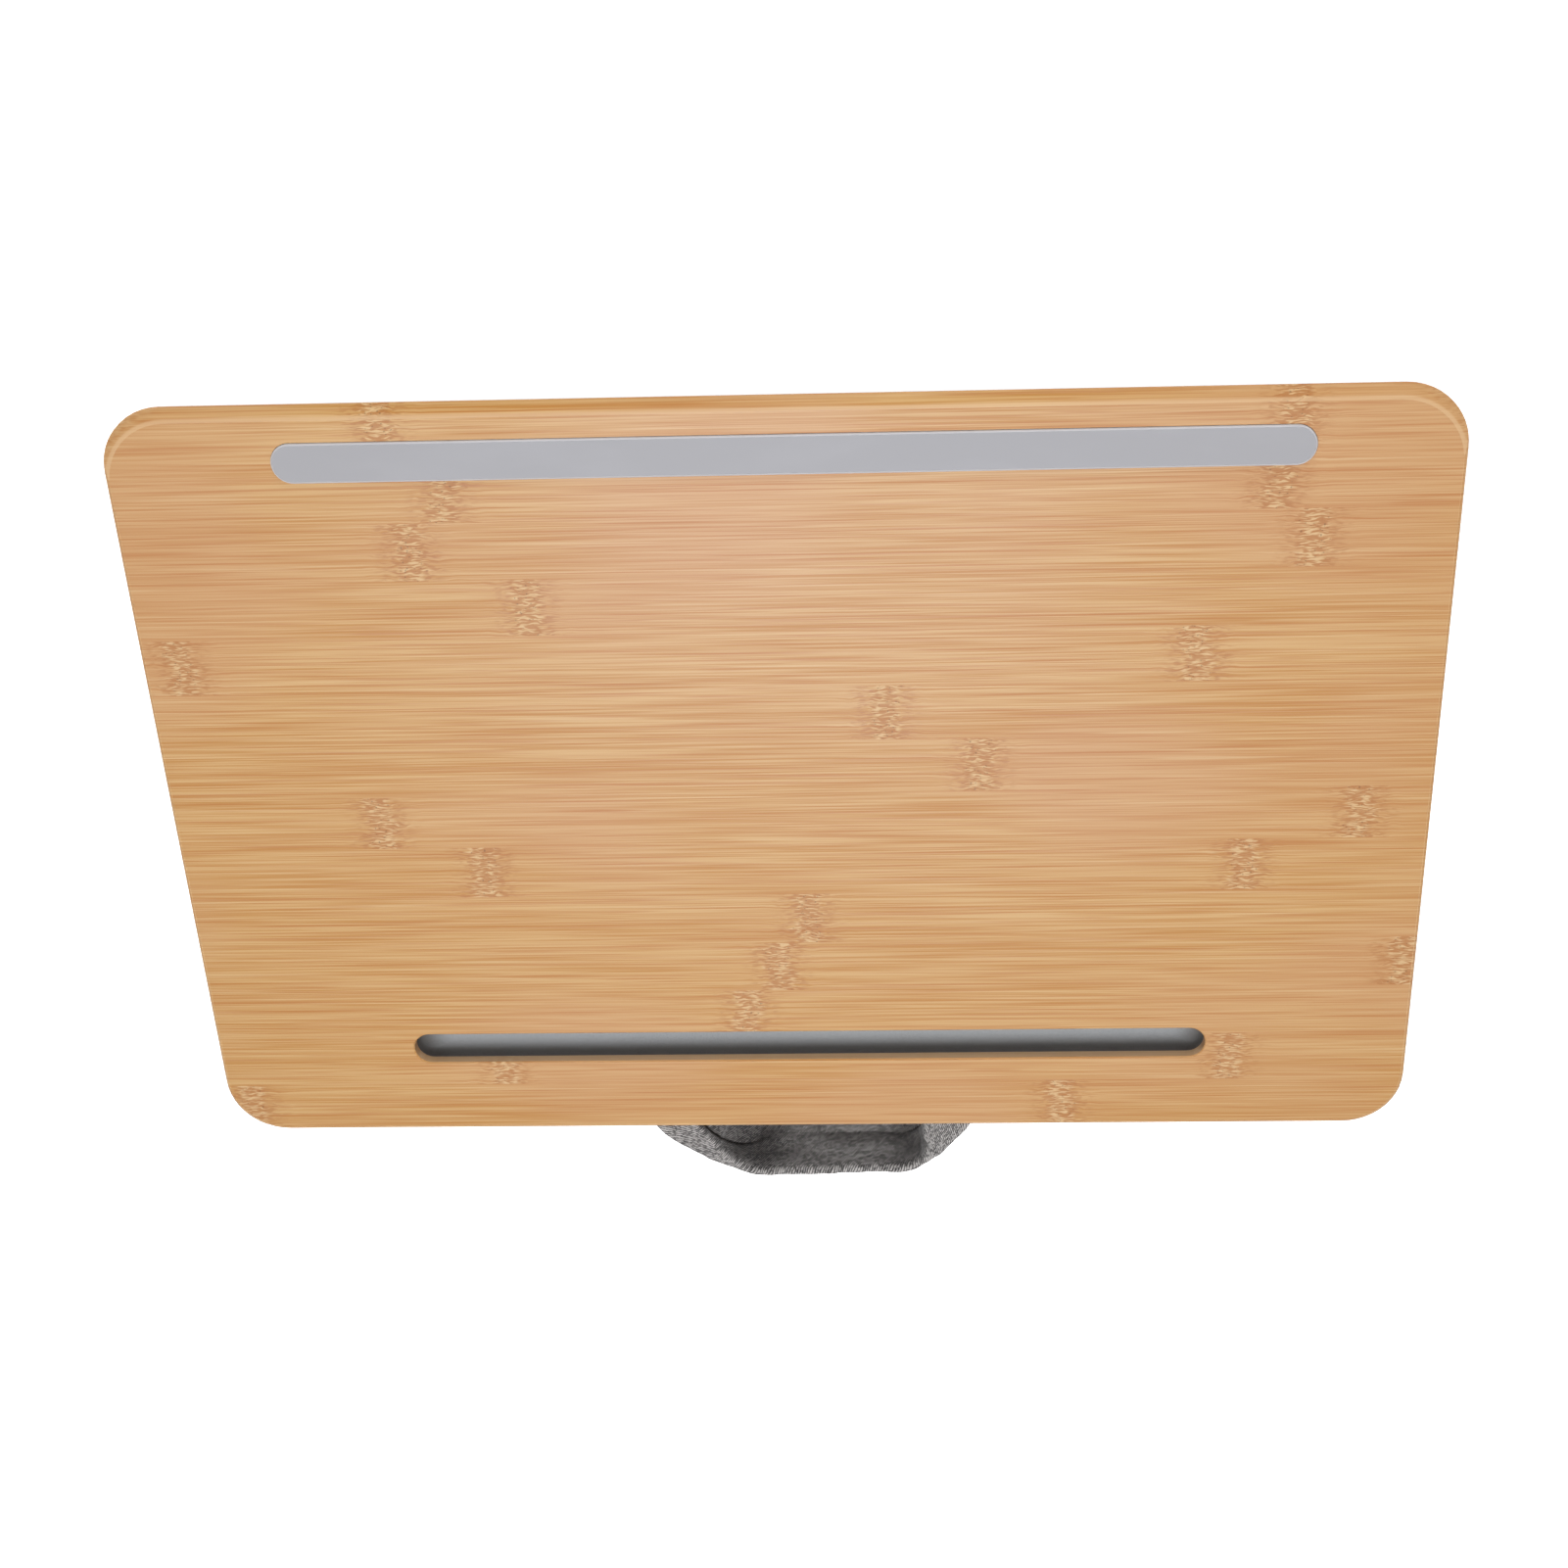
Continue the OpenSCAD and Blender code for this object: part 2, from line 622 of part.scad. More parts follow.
// The webbing inside the sleeve
module handle_webbing() {
    core = strap_rings(strap_fabric_t + strap_gap, false);
    last = (len(core) - 1) * section_n;
    color([0.15, 0.15, 0.16])
    translate([0, hinge_y, hinge_z])
    polyhedron(
        points = [for (r = core) each r],
        faces = concat(tube_faces(0, len(core)), tube_cap(0), flipped(tube_cap(last))));
}

// The strap's two fixed ends, laid on the panel and sewn down
module handle_anchors() {
    color([0.50, 0.50, 0.51])
    for (side = [-1, 1])
        translate([side * handle_span / 2, panel_rear_y - anchor_l / 2, panel_top_z])
            plate(strap_w, anchor_l, strap_root_t, anchor_corner_r);
}

bamboo_board();
grip_bar();
grip_bar_tape();
device_trough();
trough_tape();
hook_strips();
loop_strips();
top_panel();
center_web();
front_bolster();
rear_bolster();
front_filling();
rear_filling();
handle_anchors();
handle_cover();
handle_webbing();
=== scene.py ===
"""A lap desk: a bamboo board with a grip bar and a device slot, a cushion of two padded rolls, a handle."""
import json
import math
import bpy
import numpy as np
from mathutils import Matrix, Vector, noise
from mathutils.bvhtree import BVHTree


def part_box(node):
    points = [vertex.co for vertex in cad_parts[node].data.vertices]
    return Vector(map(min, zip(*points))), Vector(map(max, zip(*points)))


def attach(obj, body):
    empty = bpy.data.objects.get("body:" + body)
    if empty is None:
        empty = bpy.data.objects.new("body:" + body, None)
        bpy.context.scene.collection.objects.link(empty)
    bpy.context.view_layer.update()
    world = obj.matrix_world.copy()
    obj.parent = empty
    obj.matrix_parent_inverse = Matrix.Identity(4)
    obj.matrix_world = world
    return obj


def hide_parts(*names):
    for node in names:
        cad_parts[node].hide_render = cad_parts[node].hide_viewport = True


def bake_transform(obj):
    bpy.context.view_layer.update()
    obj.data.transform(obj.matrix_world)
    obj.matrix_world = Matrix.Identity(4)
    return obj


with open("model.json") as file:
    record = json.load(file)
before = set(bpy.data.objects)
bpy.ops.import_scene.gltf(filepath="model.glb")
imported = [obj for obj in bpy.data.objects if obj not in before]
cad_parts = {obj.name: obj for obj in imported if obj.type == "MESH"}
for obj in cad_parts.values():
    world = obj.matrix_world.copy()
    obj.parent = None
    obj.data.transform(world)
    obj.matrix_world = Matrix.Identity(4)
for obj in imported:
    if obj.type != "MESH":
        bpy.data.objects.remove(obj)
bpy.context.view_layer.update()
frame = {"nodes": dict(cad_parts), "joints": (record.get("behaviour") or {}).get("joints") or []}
nodes = frame["nodes"]

# Camera: it stands on the user's side and is turned upside down, so that the user's edge is at the top of
# the picture. Its place, lens and shift were fitted to the board's outline, the bar and the slot.
MM = 0.001
CAMERA_AT = Vector((-60.9, -360.3, 774.5)) * MM
CAMERA_AIM = Vector((-33.8, -33.4, 65.8)) * MM
CAMERA_ROLL = math.radians(-176.47)
CAMERA_LENS = 44.15
CAMERA_SHIFT = (-0.0586, -0.0174)

scene = bpy.context.scene
camera_data = bpy.data.cameras.new("camera")
camera_data.lens = CAMERA_LENS
camera_data.shift_x, camera_data.shift_y = CAMERA_SHIFT
camera = bpy.data.objects.new("camera", camera_data)
camera.location = CAMERA_AT
view_turn = (CAMERA_AIM - CAMERA_AT).to_track_quat("-Z", "Y").to_matrix().to_4x4()
camera.rotation_euler = (view_turn @ Matrix.Rotation(CAMERA_ROLL, 4, "Z")).to_euler()
scene.collection.objects.link(camera)
scene.camera = camera
scene.view_settings.view_transform = "Standard"

# Floor and light: a plain white studio floor, a wide soft box overhead, a weaker low one on the user's side,
# and a pale room that is dimmer behind the user. A bluish window is seen only mirrored in the lacquer.
FLOOR_HALF = 3.0
FLOOR_WHITE = (0.86, 0.86, 0.86, 1)
FLOOR_ROUGHNESS = 0.9
FLOOR_GLOW = 0.85
LAMP_AIM = Vector((0, 0, 0.05))
LAMP_WHITE = (1, 1, 1)
KEY_AT = (0.0, 0.02, 1.55)
KEY_SIZE = (0.6, 0.6)
KEY_POWER = 15.5
LOW_AT = (-0.2, -1.6, 0.5)
LOW_SIZE = (0.8, 0.8)
LOW_POWER = 8.0
WINDOW_AT = (0.11, 0.36, 1.6)
WINDOW_SIZE = (0.8, 0.48)
WINDOW_POWER = 9.2
WINDOW_COLOUR = (0.62, 0.76, 1.0)
ROOM_WHITE = (1, 1, 1, 1)
ROOM_NEAR = 0.1
ROOM_FAR = 0.36
ROOM_FADE = (-0.6, 0.4)


class Tree:
    """Adds shader nodes to a tree. An input is a plain value or another node's output."""

    def __init__(self, tree):
        self.tree = tree

    def link(self, value, socket):
        self.tree.links.new(value, socket)

    def add(self, kind, inputs=None, **settings):
        node = self.tree.nodes.new(kind)
        for name, value in settings.items():
            setattr(node, name, value)
        for key, value in (inputs or {}).items():
            if isinstance(value, bpy.types.NodeSocket):
                self.link(value, node.inputs[key])
            else:
                node.inputs[key].default_value = value
        return node

    def math(self, operation, *values):
        return self.add("ShaderNodeMath", dict(enumerate(values)), operation=operation).outputs[0]

    def times(self, first, second):
        return self.math("MULTIPLY", first, second)

    def plus(self, first, second):
        return self.math("ADD", first, second)

    def minus(self, first, second):
        return self.math("SUBTRACT", first, second)

    def sway(self, base, value, amount, middle=0.5):
        """The base plus the amount times how far the value lies from its middle."""
        return self.math("MULTIPLY_ADD", self.minus(value, middle), amount, base)

    def fade(self, value, start, end, low=0.0, high=1.0):
        """low below start, high above end, and smooth between them."""
        limits = {"Value": value, "From Min": start, "From Max": end, "To Min": low, "To Max": high}
        return self.add("ShaderNodeMapRange", limits, interpolation_type="SMOOTHSTEP").outputs[0]

    def axes(self, vector):
        """The vector's three values, by the names X, Y and Z."""
        return self.add("ShaderNodeSeparateXYZ", {0: vector}).outputs

    def point(self, *values):
        return self.add("ShaderNodeCombineXYZ", dict(enumerate(values))).outputs[0]

    def stretch(self, vector, factors):
        """The vector times a factor along each axis."""
        return self.add("ShaderNodeVectorMath", {0: vector, 1: factors}, operation="MULTIPLY").outputs[0]

    def noise(self, vector, per_mm, detail=2.0, roughness=0.5, distortion=0.0):
        """Cloudy noise at a place in millimetres. It repeats per_mm times a millimetre along each axis."""
        inputs = {"Vector": self.stretch(vector, per_mm), "Scale": 1.0, "Detail": detail,
                  "Roughness": roughness, "Distortion": distortion}
        return self.add("ShaderNodeTexNoise", inputs).outputs[0]

    def blend(self, share, first, second, mode="MIX"):
        """The share of the second colour over the first one."""
        node = self.add("ShaderNodeMix", {0: share, 6: first, 7: second},
                        data_type="RGBA", blend_type=mode, clamp_factor=True)
        return node.outputs[2]


def new_material(name, roughness=0.5, **sockets):
    """A material with its Principled BSDF; gives the material, its tree and that shader."""
    material = bpy.data.materials.new(name)
    material.use_nodes = True
    shader = material.node_tree.nodes["Principled BSDF"]
    shader.inputs["Roughness"].default_value = roughness
    for key, value in sockets.items():
        shader.inputs[key.replace("_", " ")].default_value = value
    return material, Tree(material.node_tree), shader


def paint(obj, material):
    """Gives the whole object one material."""
    obj.data.materials.clear()
    obj.data.materials.append(material)


floor_mesh = bpy.data.meshes.new("floor")
floor_corners = [(x * FLOOR_HALF, y * FLOOR_HALF, 0) for x, y in ((-1, -1), (1, -1), (1, 1), (-1, 1))]
floor_mesh.from_pydata(floor_corners, [], [(0, 1, 2, 3)])
floor = bpy.data.objects.new("floor", floor_mesh)
scene.collection.objects.link(floor)
floor_paint, floor_tree, floor_shader = new_material(
    "floor_white", FLOOR_ROUGHNESS, Base_Color=FLOOR_WHITE, Specular_IOR_Level=0.0, Emission_Color=ROOM_WHITE)
seen = floor_tree.add("ShaderNodeLightPath").outputs
seen_or_mirrored = floor_tree.math("MAXIMUM", seen["Is Camera Ray"], seen["Is Glossy Ray"])
floor_tree.link(floor_tree.times(seen_or_mirrored, FLOOR_GLOW), floor_shader.inputs["Emission Strength"])
paint(floor, floor_paint)


def soft_box(name, at, size, power, colour, mirrored):
    """An area lamp that faces the board. It lights surfaces, or is only seen mirrored in them."""
    data = bpy.data.lights.new(name, "AREA")
    data.shape = "RECTANGLE"
    data.size, data.size_y = size
    data.energy = power
    data.color = colour
    lamp = bpy.data.objects.new(name, data)
    lamp.visible_diffuse = not mirrored
    lamp.visible_glossy = mirrored
    lamp.location = at
    lamp.rotation_euler = (LAMP_AIM - Vector(at)).to_track_quat("-Z", "Y").to_euler()
    scene.collection.objects.link(lamp)


soft_box("key_light", KEY_AT, KEY_SIZE, KEY_POWER, LAMP_WHITE, False)
soft_box("low_light", LOW_AT, LOW_SIZE, LOW_POWER, LAMP_WHITE, False)
soft_box("window_light", WINDOW_AT, WINDOW_SIZE, WINDOW_POWER, WINDOW_COLOUR, True)
world = bpy.data.worlds.new("room")
scene.world = world
world.use_nodes = True
room = Tree(world.node_tree)
background = world.node_tree.nodes["Background"]
room_seen = room.add("ShaderNodeLightPath").outputs["Is Camera Ray"]
room_side = room.axes(room.add("ShaderNodeTexCoord").outputs["Generated"])["Y"]
room_strength = room.math("MAXIMUM", room.fade(room_side, *ROOM_FADE, ROOM_NEAR, ROOM_FAR), room_seen)
room.link(room_strength, background.inputs["Strength"])
background.inputs["Color"].default_value = ROOM_WHITE

# Bamboo board: fourteen strips of bamboo glued edge to edge, sanded and lacquered. Each strip keeps the
# joints of its stalk, 260 to 410 mm apart, as a band of short wavy fibres with a darker zone round it.


def srgb(red, green, blue):
    """A colour read as 0 to 255 values, as the linear colour that a shader takes."""
    def linear(value):
        share = value / 255
        return share / 12.92 if share <= 0.04045 else ((share + 0.055) / 1.055) ** 2.4
    return (linear(red), linear(green), linear(blue), 1.0)


STRIP_COUNT = 14
BOARD_LOW, BOARD_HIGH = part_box("bamboo_board")
BOARD_W = BOARD_HIGH.x - BOARD_LOW.x
STRIP_W = (BOARD_HIGH.y - BOARD_LOW.y) / STRIP_COUNT
# Places of the joints along each strip, in millimetres from the board's middle, from the user's edge on
JOINTS = [(152, -194), (130, -189), (146, -204), (102, 102), (244, -162), (-38, -38), (-76, -76),
          (173, -231), (132, -185), (-3, -3), (10, -255), (25, 25), (134, -183), (249, -111)]
BAMBOO_PALE = srgb(221, 178, 120)
BAMBOO_DEEP = srgb(201, 144, 76)
BAMBOO_ROSE = srgb(216, 166, 120)
BAMBOO_LINE = srgb(190, 116, 54)
BAMBOO_KNOT = srgb(188, 126, 72)
BAMBOO_CREAM = srgb(234, 200, 150)
BAMBOO_PORE = srgb(112, 76, 48)
# A pale colour of painted light: the highlight where the round-over starts, and the paler slot wall
BAMBOO_PAINTED_LIGHT = srgb(232, 194, 148)
BAMBOO_SIDE = srgb(200, 168, 138)
# How often each pattern repeats in a millimetre: along, across and down through the board
FINE_PER_MM = (0.014, 1.6, 0.9)
BROAD_PER_MM = (0.005, 0.16, 0.1)
PATCH_PER_MM = (0.007, 0.011, 0.02)
WEIGHT_PER_MM = (0.011, 0.13, 0.1)
LONG_LINES_PER_MM = (0.0075, 1.15, 0.6)
SHORT_LINES_PER_MM = (0.02, 1.7, 0.9)
PALE_LINES_PER_MM = (0.009, 1.15, 0.7)
RAGGED_PER_MM = (0.02, 1.3, 0.3)
WANDER_PER_MM = (0.0, 0.09, 0.0)
SWERVE_PER_MM = (0.12, 0.3, 0.1)
STROKES_PER_MM = (0.24, 1.7, 1.0)
PORES_PER_MM = (0.5, 0.8, 0.5)
END_DOTS_PER_MM = (0.1, 2.2, 2.6)
# How far each strip's pattern is moved on from the last one's, and how far fibres and joints stray, in mm
STRIP_SHIFT = 371.0
RAGGED_BY = 13.0
WANDER_BY = 9.0
BEND_BY = 3.2
BEND_REACH = (2.0, 26.0)
CORE_REACH = (4.0, 6.6)
RIM_START = (2.5, 5.5)
RIM_END = (6.0, 17.0)
# Where each pattern starts and is full, and the facings at which the round-over and the sides do
LONG_LINE_CUT = (0.54, 0.66)
SHORT_LINE_CUT = (0.52, 0.68)
PALE_LINE_CUT = (0.4, 0.27)
STROKE_CUT = (0.46, 0.62)
PORE_CUT = (0.24, 0.12)
SEAM_CUT = (0.487, 0.5)
ROUND_START = (0.9999, 0.998)
ROUND_END = (0.965, 0.99)
SIDE_START = (0.7, 0.1)
# How strongly each pattern changes the tone or covers it
TONE_MIDDLE = 0.42
BROAD_TONE = 1.2
STRIP_TONE = 0.25
FINE_TONE = 3.4
ROSE_SHARE = 0.5
CREAM_SHARE = 0.45
LONG_LINE_SHARE = 0.5
SHORT_LINE_SHARE = 0.42
STROKE_SHARE = 0.72
PORE_SHARE = 0.5
SEAM_SHARE = 0.3
HIGHLIGHT_SHARE = 0.6
PAINTED_SIDE_SHARE = 0.7
END_GRAIN_SHARE = 0.5
BAMBOO_ROUGHNESS = 0.36


def new_group(name, inputs, outputs):
    """A node group with named inputs, at their starting values, and outputs; gives it and its tree."""
    group = bpy.data.node_groups.new(name, "ShaderNodeTree")
    for key, value in inputs.items():
        kind = "NodeSocketVector" if value is None else "NodeSocketFloat"
        socket = group.interface.new_socket(key, in_out="INPUT", socket_type=kind)
        if value is not None:
            socket.default_value = value
    for key, kind in outputs.items():
        group.interface.new_socket(key, in_out="OUTPUT", socket_type="NodeSocket" + kind)
    tree = Tree(group)
    return group, tree, tree.add("NodeGroupInput").outputs, tree.add("NodeGroupOutput").inputs


def object_place(tree):
    """The point on the surface in the object's own frame, in millimetres."""
    return tree.stretch(tree.add("ShaderNodeTexCoord").outputs["Object"], (1 / MM, 1 / MM, 1 / MM))


def bump(tree, shader, height, strength, distance):
    node = tree.add("ShaderNodeBump", {"Height": height, "Strength": strength, "Distance": distance})
    tree.link(node.outputs[0], shader.inputs["Normal"])


def bamboo_group():
    """The fibres, strips and joints of bamboo, from a place in millimetres and the side that it faces."""
    group, tree, given, result = new_group(
        "bamboo_strips",
        {"Place": None, "Facing": None, "Near Edge": 0.0, "Strip Width": 24.0, "Outside": 1.0},
        {"Colour": "Color", "Height": "Float", "Polish": "Float"})
    place = given["Place"]
    axes = tree.axes(place)
    strip_place = tree.math("DIVIDE", tree.minus(axes["Y"], given["Near Edge"]), given["Strip Width"])
    strip = tree.math("FLOOR", strip_place)
    chance = tree.add("ShaderNodeTexWhiteNoise", {"W": strip}, noise_dimensions="1D").outputs["Value"]
    shifted_x = tree.math("MULTIPLY_ADD", strip, STRIP_SHIFT, axes["X"])
    strip_spot = tree.point(shifted_x, axes["Y"], axes["Z"])

    # Distance along the strip to its nearest joint, with a ragged edge
    strip_share = tree.math("DIVIDE", tree.plus(strip, 0.5), float(STRIP_COUNT))
    ramp = tree.add("ShaderNodeValToRGB", {0: strip_share})
    ramp.color_ramp.interpolation = "CONSTANT"
    while len(ramp.color_ramp.elements) < STRIP_COUNT:
        ramp.color_ramp.elements.new(0.5)
    for i, (element, places) in enumerate(zip(ramp.color_ramp.elements, JOINTS)):
        element.position = i / STRIP_COUNT
        shares = [0.5 + x * MM / BOARD_W for x in places]
        element.color = (shares[0], shares[1], 0, 1)
    joint_shares = tree.add("ShaderNodeSeparateColor", {0: ramp.outputs[0]}).outputs
    ragged = tree.noise(strip_spot, RAGGED_PER_MM, 2.0, 0.7)
    wander = tree.noise(strip_spot, WANDER_PER_MM, 1.0)
    ragged_x = tree.sway(tree.sway(axes["X"], ragged, RAGGED_BY), wander, WANDER_BY)
    gaps = []
    for key in ("Red", "Green"):
        joint_x = tree.math("MULTIPLY_ADD", joint_shares[key], BOARD_W / MM, -BOARD_W / MM / 2)
        gaps.append(tree.math("ABSOLUTE", tree.minus(ragged_x, joint_x)))
    gap = tree.math("MINIMUM", *gaps)
    core = tree.fade(gap, *CORE_REACH, 1.0, 0.0)
    rim = tree.times(tree.fade(gap, *RIM_END, 1.0, 0.0), tree.fade(gap, *RIM_START))

    # The fibres bend a little round the joints
    swerve = tree.noise(strip_spot, SWERVE_PER_MM, 1.0, 0.5)
    bend = tree.times(tree.minus(swerve, 0.5), tree.fade(gap, *BEND_REACH, BEND_BY, 0.0))
    fibre_spot = tree.point(shifted_x, tree.plus(axes["Y"], bend), axes["Z"])

    # Fibres: soft bands, fine streaks, and thin straight lines that run on for some centimetres
    fine = tree.noise(fibre_spot, FINE_PER_MM, 1.0, 0.6)
    broad = tree.noise(fibre_spot, BROAD_PER_MM, 2.0, 0.5)
    patch = tree.noise(place, PATCH_PER_MM, 1.0, 0.5)
    weight = tree.noise(fibre_spot, WEIGHT_PER_MM, 1.0, 0.5)
    long_lines = tree.noise(fibre_spot, LONG_LINES_PER_MM, 2.0, 0.55)
    short_lines = tree.noise(fibre_spot, SHORT_LINES_PER_MM, 1.0, 0.5)
    pale_lines = tree.noise(fibre_spot, PALE_LINES_PER_MM, 1.0, 0.5)
    long_line = tree.times(tree.fade(long_lines, *LONG_LINE_CUT), tree.fade(weight, 0.36, 0.6, 0.4, 1.0))
    short_line = tree.times(tree.fade(short_lines, *SHORT_LINE_CUT), tree.fade(weight, 0.6, 0.4, 0.5, 1.0))
    pale_line = tree.fade(pale_lines, *PALE_LINE_CUT)
    tone = tree.sway(TONE_MIDDLE, broad, BROAD_TONE)
    tone = tree.sway(tone, chance, STRIP_TONE)
    tone = tree.sway(tone, fine, FINE_TONE)
    colour = tree.blend(tone, BAMBOO_PALE, BAMBOO_DEEP)
    colour = tree.blend(tree.fade(patch, 0.42, 0.66, 0.0, ROSE_SHARE), colour, BAMBOO_ROSE)
    colour = tree.blend(tree.times(pale_line, CREAM_SHARE), colour, BAMBOO_CREAM)
    colour = tree.blend(tree.times(long_line, LONG_LINE_SHARE), colour, BAMBOO_LINE)
    colour = tree.blend(tree.times(short_line, SHORT_LINE_SHARE), colour, BAMBOO_LINE)

    # The joints: short pale strokes between brown ones, browner at both edges, with a few open pores
    strokes = tree.noise(fibre_spot, STROKES_PER_MM, 1.0, 0.5, 0.25)
    pores = tree.add("ShaderNodeTexVoronoi", {"Vector": tree.stretch(fibre_spot, PORES_PER_MM), "Scale": 1.0})
    pore = tree.times(tree.fade(pores.outputs["Distance"], *PORE_CUT), core)
    stroke = tree.fade(strokes, *STROKE_CUT)
    stroke_colour = tree.blend(stroke, BAMBOO_KNOT, BAMBOO_CREAM)
    colour = tree.blend(tree.times(rim, tree.fade(strokes, 0.52, 0.4, 0.05, 0.7)), colour, BAMBOO_KNOT)
    colour = tree.blend(tree.times(core, STROKE_SHARE), colour, stroke_colour)
    colour = tree.blend(tree.times(pore, PORE_SHARE), colour, BAMBOO_PORE)
    seam = tree.math("ABSOLUTE", tree.minus(tree.math("FRACT", strip_place), 0.5))
    colour = tree.blend(tree.times(tree.fade(seam, *SEAM_CUT), SEAM_SHARE), colour, BAMBOO_LINE)

    # Edges: a painted highlight along the line where the round-over starts, and sides painted in tones of
    # their own
    upward = tree.axes(given["Facing"])["Z"]
    painted_highlight = tree.times(tree.fade(upward, *ROUND_END), tree.fade(upward, *ROUND_START))
    colour = tree.blend(tree.times(painted_highlight, HIGHLIGHT_SHARE), colour, BAMBOO_PAINTED_LIGHT)
    # Sides painted in their own tone: the slot's wall paler, painted light against its shade, and the outer
    # sides greyer
    painted_sides = tree.fade(upward, *SIDE_START, 0.0, PAINTED_SIDE_SHARE)
    colour = tree.blend(painted_sides, colour, tree.blend(given["Outside"], BAMBOO_PAINTED_LIGHT, BAMBOO_SIDE))
    relief = tree.times(core, stroke)
    height = tree.plus(tree.times(fine, 0.5), tree.times(relief, 1.2))
    tree.link(colour, result["Colour"])
    tree.link(tree.minus(height, tree.times(long_line, 0.3)), result["Height"])
    tree.link(tree.math("MULTIPLY_ADD", fine, 0.1, tree.times(core, 0.06)), result["Polish"])
    return group


bamboo, bamboo_tree, bamboo_shader = new_material(
    "lacquered_bamboo", 0.42, Coat_Weight=0.25, Coat_Roughness=0.4)
bamboo_place = object_place(bamboo_tree)
bamboo_facing = bamboo_tree.add("ShaderNodeTexCoord").outputs["Normal"]
# The slot's wall stays clear of the greyer tone that the outer sides have, and is painted paler instead
SLOT_ROUND = (16.0, 17.0)
slot_y = (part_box("device_trough")[0].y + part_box("device_trough")[1].y) / 2 / MM
from_slot = bamboo_tree.math("ABSOLUTE", bamboo_tree.minus(bamboo_tree.axes(bamboo_place)["Y"], slot_y))
strip_inputs = {"Place": bamboo_place, "Facing": bamboo_facing, "Near Edge": BOARD_LOW.y / MM,
                "Strip Width": STRIP_W / MM, "Outside": bamboo_tree.fade(from_slot, *SLOT_ROUND)}
strips = bamboo_tree.add("ShaderNodeGroup", strip_inputs, node_tree=bamboo_group())
# The two short edges show the cut ends of the fibres
sideways = bamboo_tree.math("ABSOLUTE", bamboo_tree.axes(bamboo_facing)["X"])
end_grain = bamboo_tree.times(bamboo_tree.fade(sideways, 0.75, 0.95), END_GRAIN_SHARE)
dots = bamboo_tree.noise(bamboo_place, END_DOTS_PER_MM, 2.0, 0.6)
dot_colour = bamboo_tree.blend(bamboo_tree.fade(dots, 0.45, 0.62), BAMBOO_DEEP, BAMBOO_LINE)
board_colour = bamboo_tree.blend(end_grain, strips.outputs["Colour"], dot_colour)
bamboo_tree.link(board_colour, bamboo_shader.inputs["Base Color"])
bamboo_rough = bamboo_tree.math("MULTIPLY_ADD", strips.outputs["Polish"], 1.0, BAMBOO_ROUGHNESS)
bamboo_tree.link(bamboo_rough, bamboo_shader.inputs["Roughness"])
bump(bamboo_tree, bamboo_shader, strips.outputs["Height"], 0.25, 0.2 * MM)
paint(nodes["bamboo_board"], bamboo)

# Grip bar: a moulded strip of grey silicone with a fine matte skin, pressed into its groove on thin tape. Its
# rounded edges carry a painted highlight.
SILICONE_GREY = srgb(178, 177, 181)
SILICONE_DUST = srgb(198, 198, 203)
SILICONE_HIGHLIGHT = srgb(222, 221, 224)
SILICONE_GRAIN_PER_MM = (3.5, 3.5, 3.5)
SILICONE_CLOUD_PER_MM = (0.03, 0.08, 0.08)
SILICONE_DUST_SHARE = 0.12
SILICONE_HIGHLIGHT_SHARE = 0.75
silicone, silicone_tree, silicone_shader = new_material("grey_silicone", 0.58)
silicone_place = object_place(silicone_tree)
silicone_grain = silicone_tree.noise(silicone_place, SILICONE_GRAIN_PER_MM, 2.0, 0.6)
silicone_cloud = silicone_tree.noise(silicone_place, SILICONE_CLOUD_PER_MM, 2.0, 0.5)
silicone_mix = silicone_tree.times(silicone_tree.fade(silicone_cloud, 0.4, 0.75), SILICONE_DUST_SHARE)
silicone_colour = silicone_tree.blend(silicone_mix, SILICONE_GREY, SILICONE_DUST)
# A painted highlight where the top turns down over the rounded edges
silicone_up = silicone_tree.axes(silicone_tree.add("ShaderNodeTexCoord").outputs["Normal"])["Z"]
silicone_painted_highlight = silicone_tree.times(silicone_tree.fade(silicone_up, 0.995, 0.93), SILICONE_HIGHLIGHT_SHARE)
silicone_colour = silicone_tree.blend(silicone_painted_highlight, silicone_colour, SILICONE_HIGHLIGHT)
silicone_tree.link(silicone_colour, silicone_shader.inputs["Base Color"])
bump(silicone_tree, silicone_shader, silicone_grain, 0.12, 0.08 * MM)
paint(nodes["grip_bar"], silicone)

# Bonding tapes: thin white foam tape, sticky on both sides. One strip lies under the bar, and a ring of it
# joins the trough's flange to the underside of the board.
TAPE_WHITE = srgb(232, 229, 218)
TAPE_CELL = srgb(206, 202, 190)
TAPE_CELLS_PER_MM = (4.0, 4.0, 4.0)
foam, foam_tree, foam_shader = new_material("foam_tape", 0.75)
foam_cells = foam_tree.noise(object_place(foam_tree), TAPE_CELLS_PER_MM, 2.0, 0.6)
foam_colour = foam_tree.blend(foam_tree.fade(foam_cells, 0.5, 0.62), TAPE_WHITE, TAPE_CELL)
foam_tree.link(foam_colour, foam_shader.inputs["Base Color"])
bump(foam_tree, foam_shader, foam_cells, 0.3, 0.1 * MM)
for tape_node in ("grip_bar_tape", "trough_tape"):
    paint(nodes[tape_node], foam)

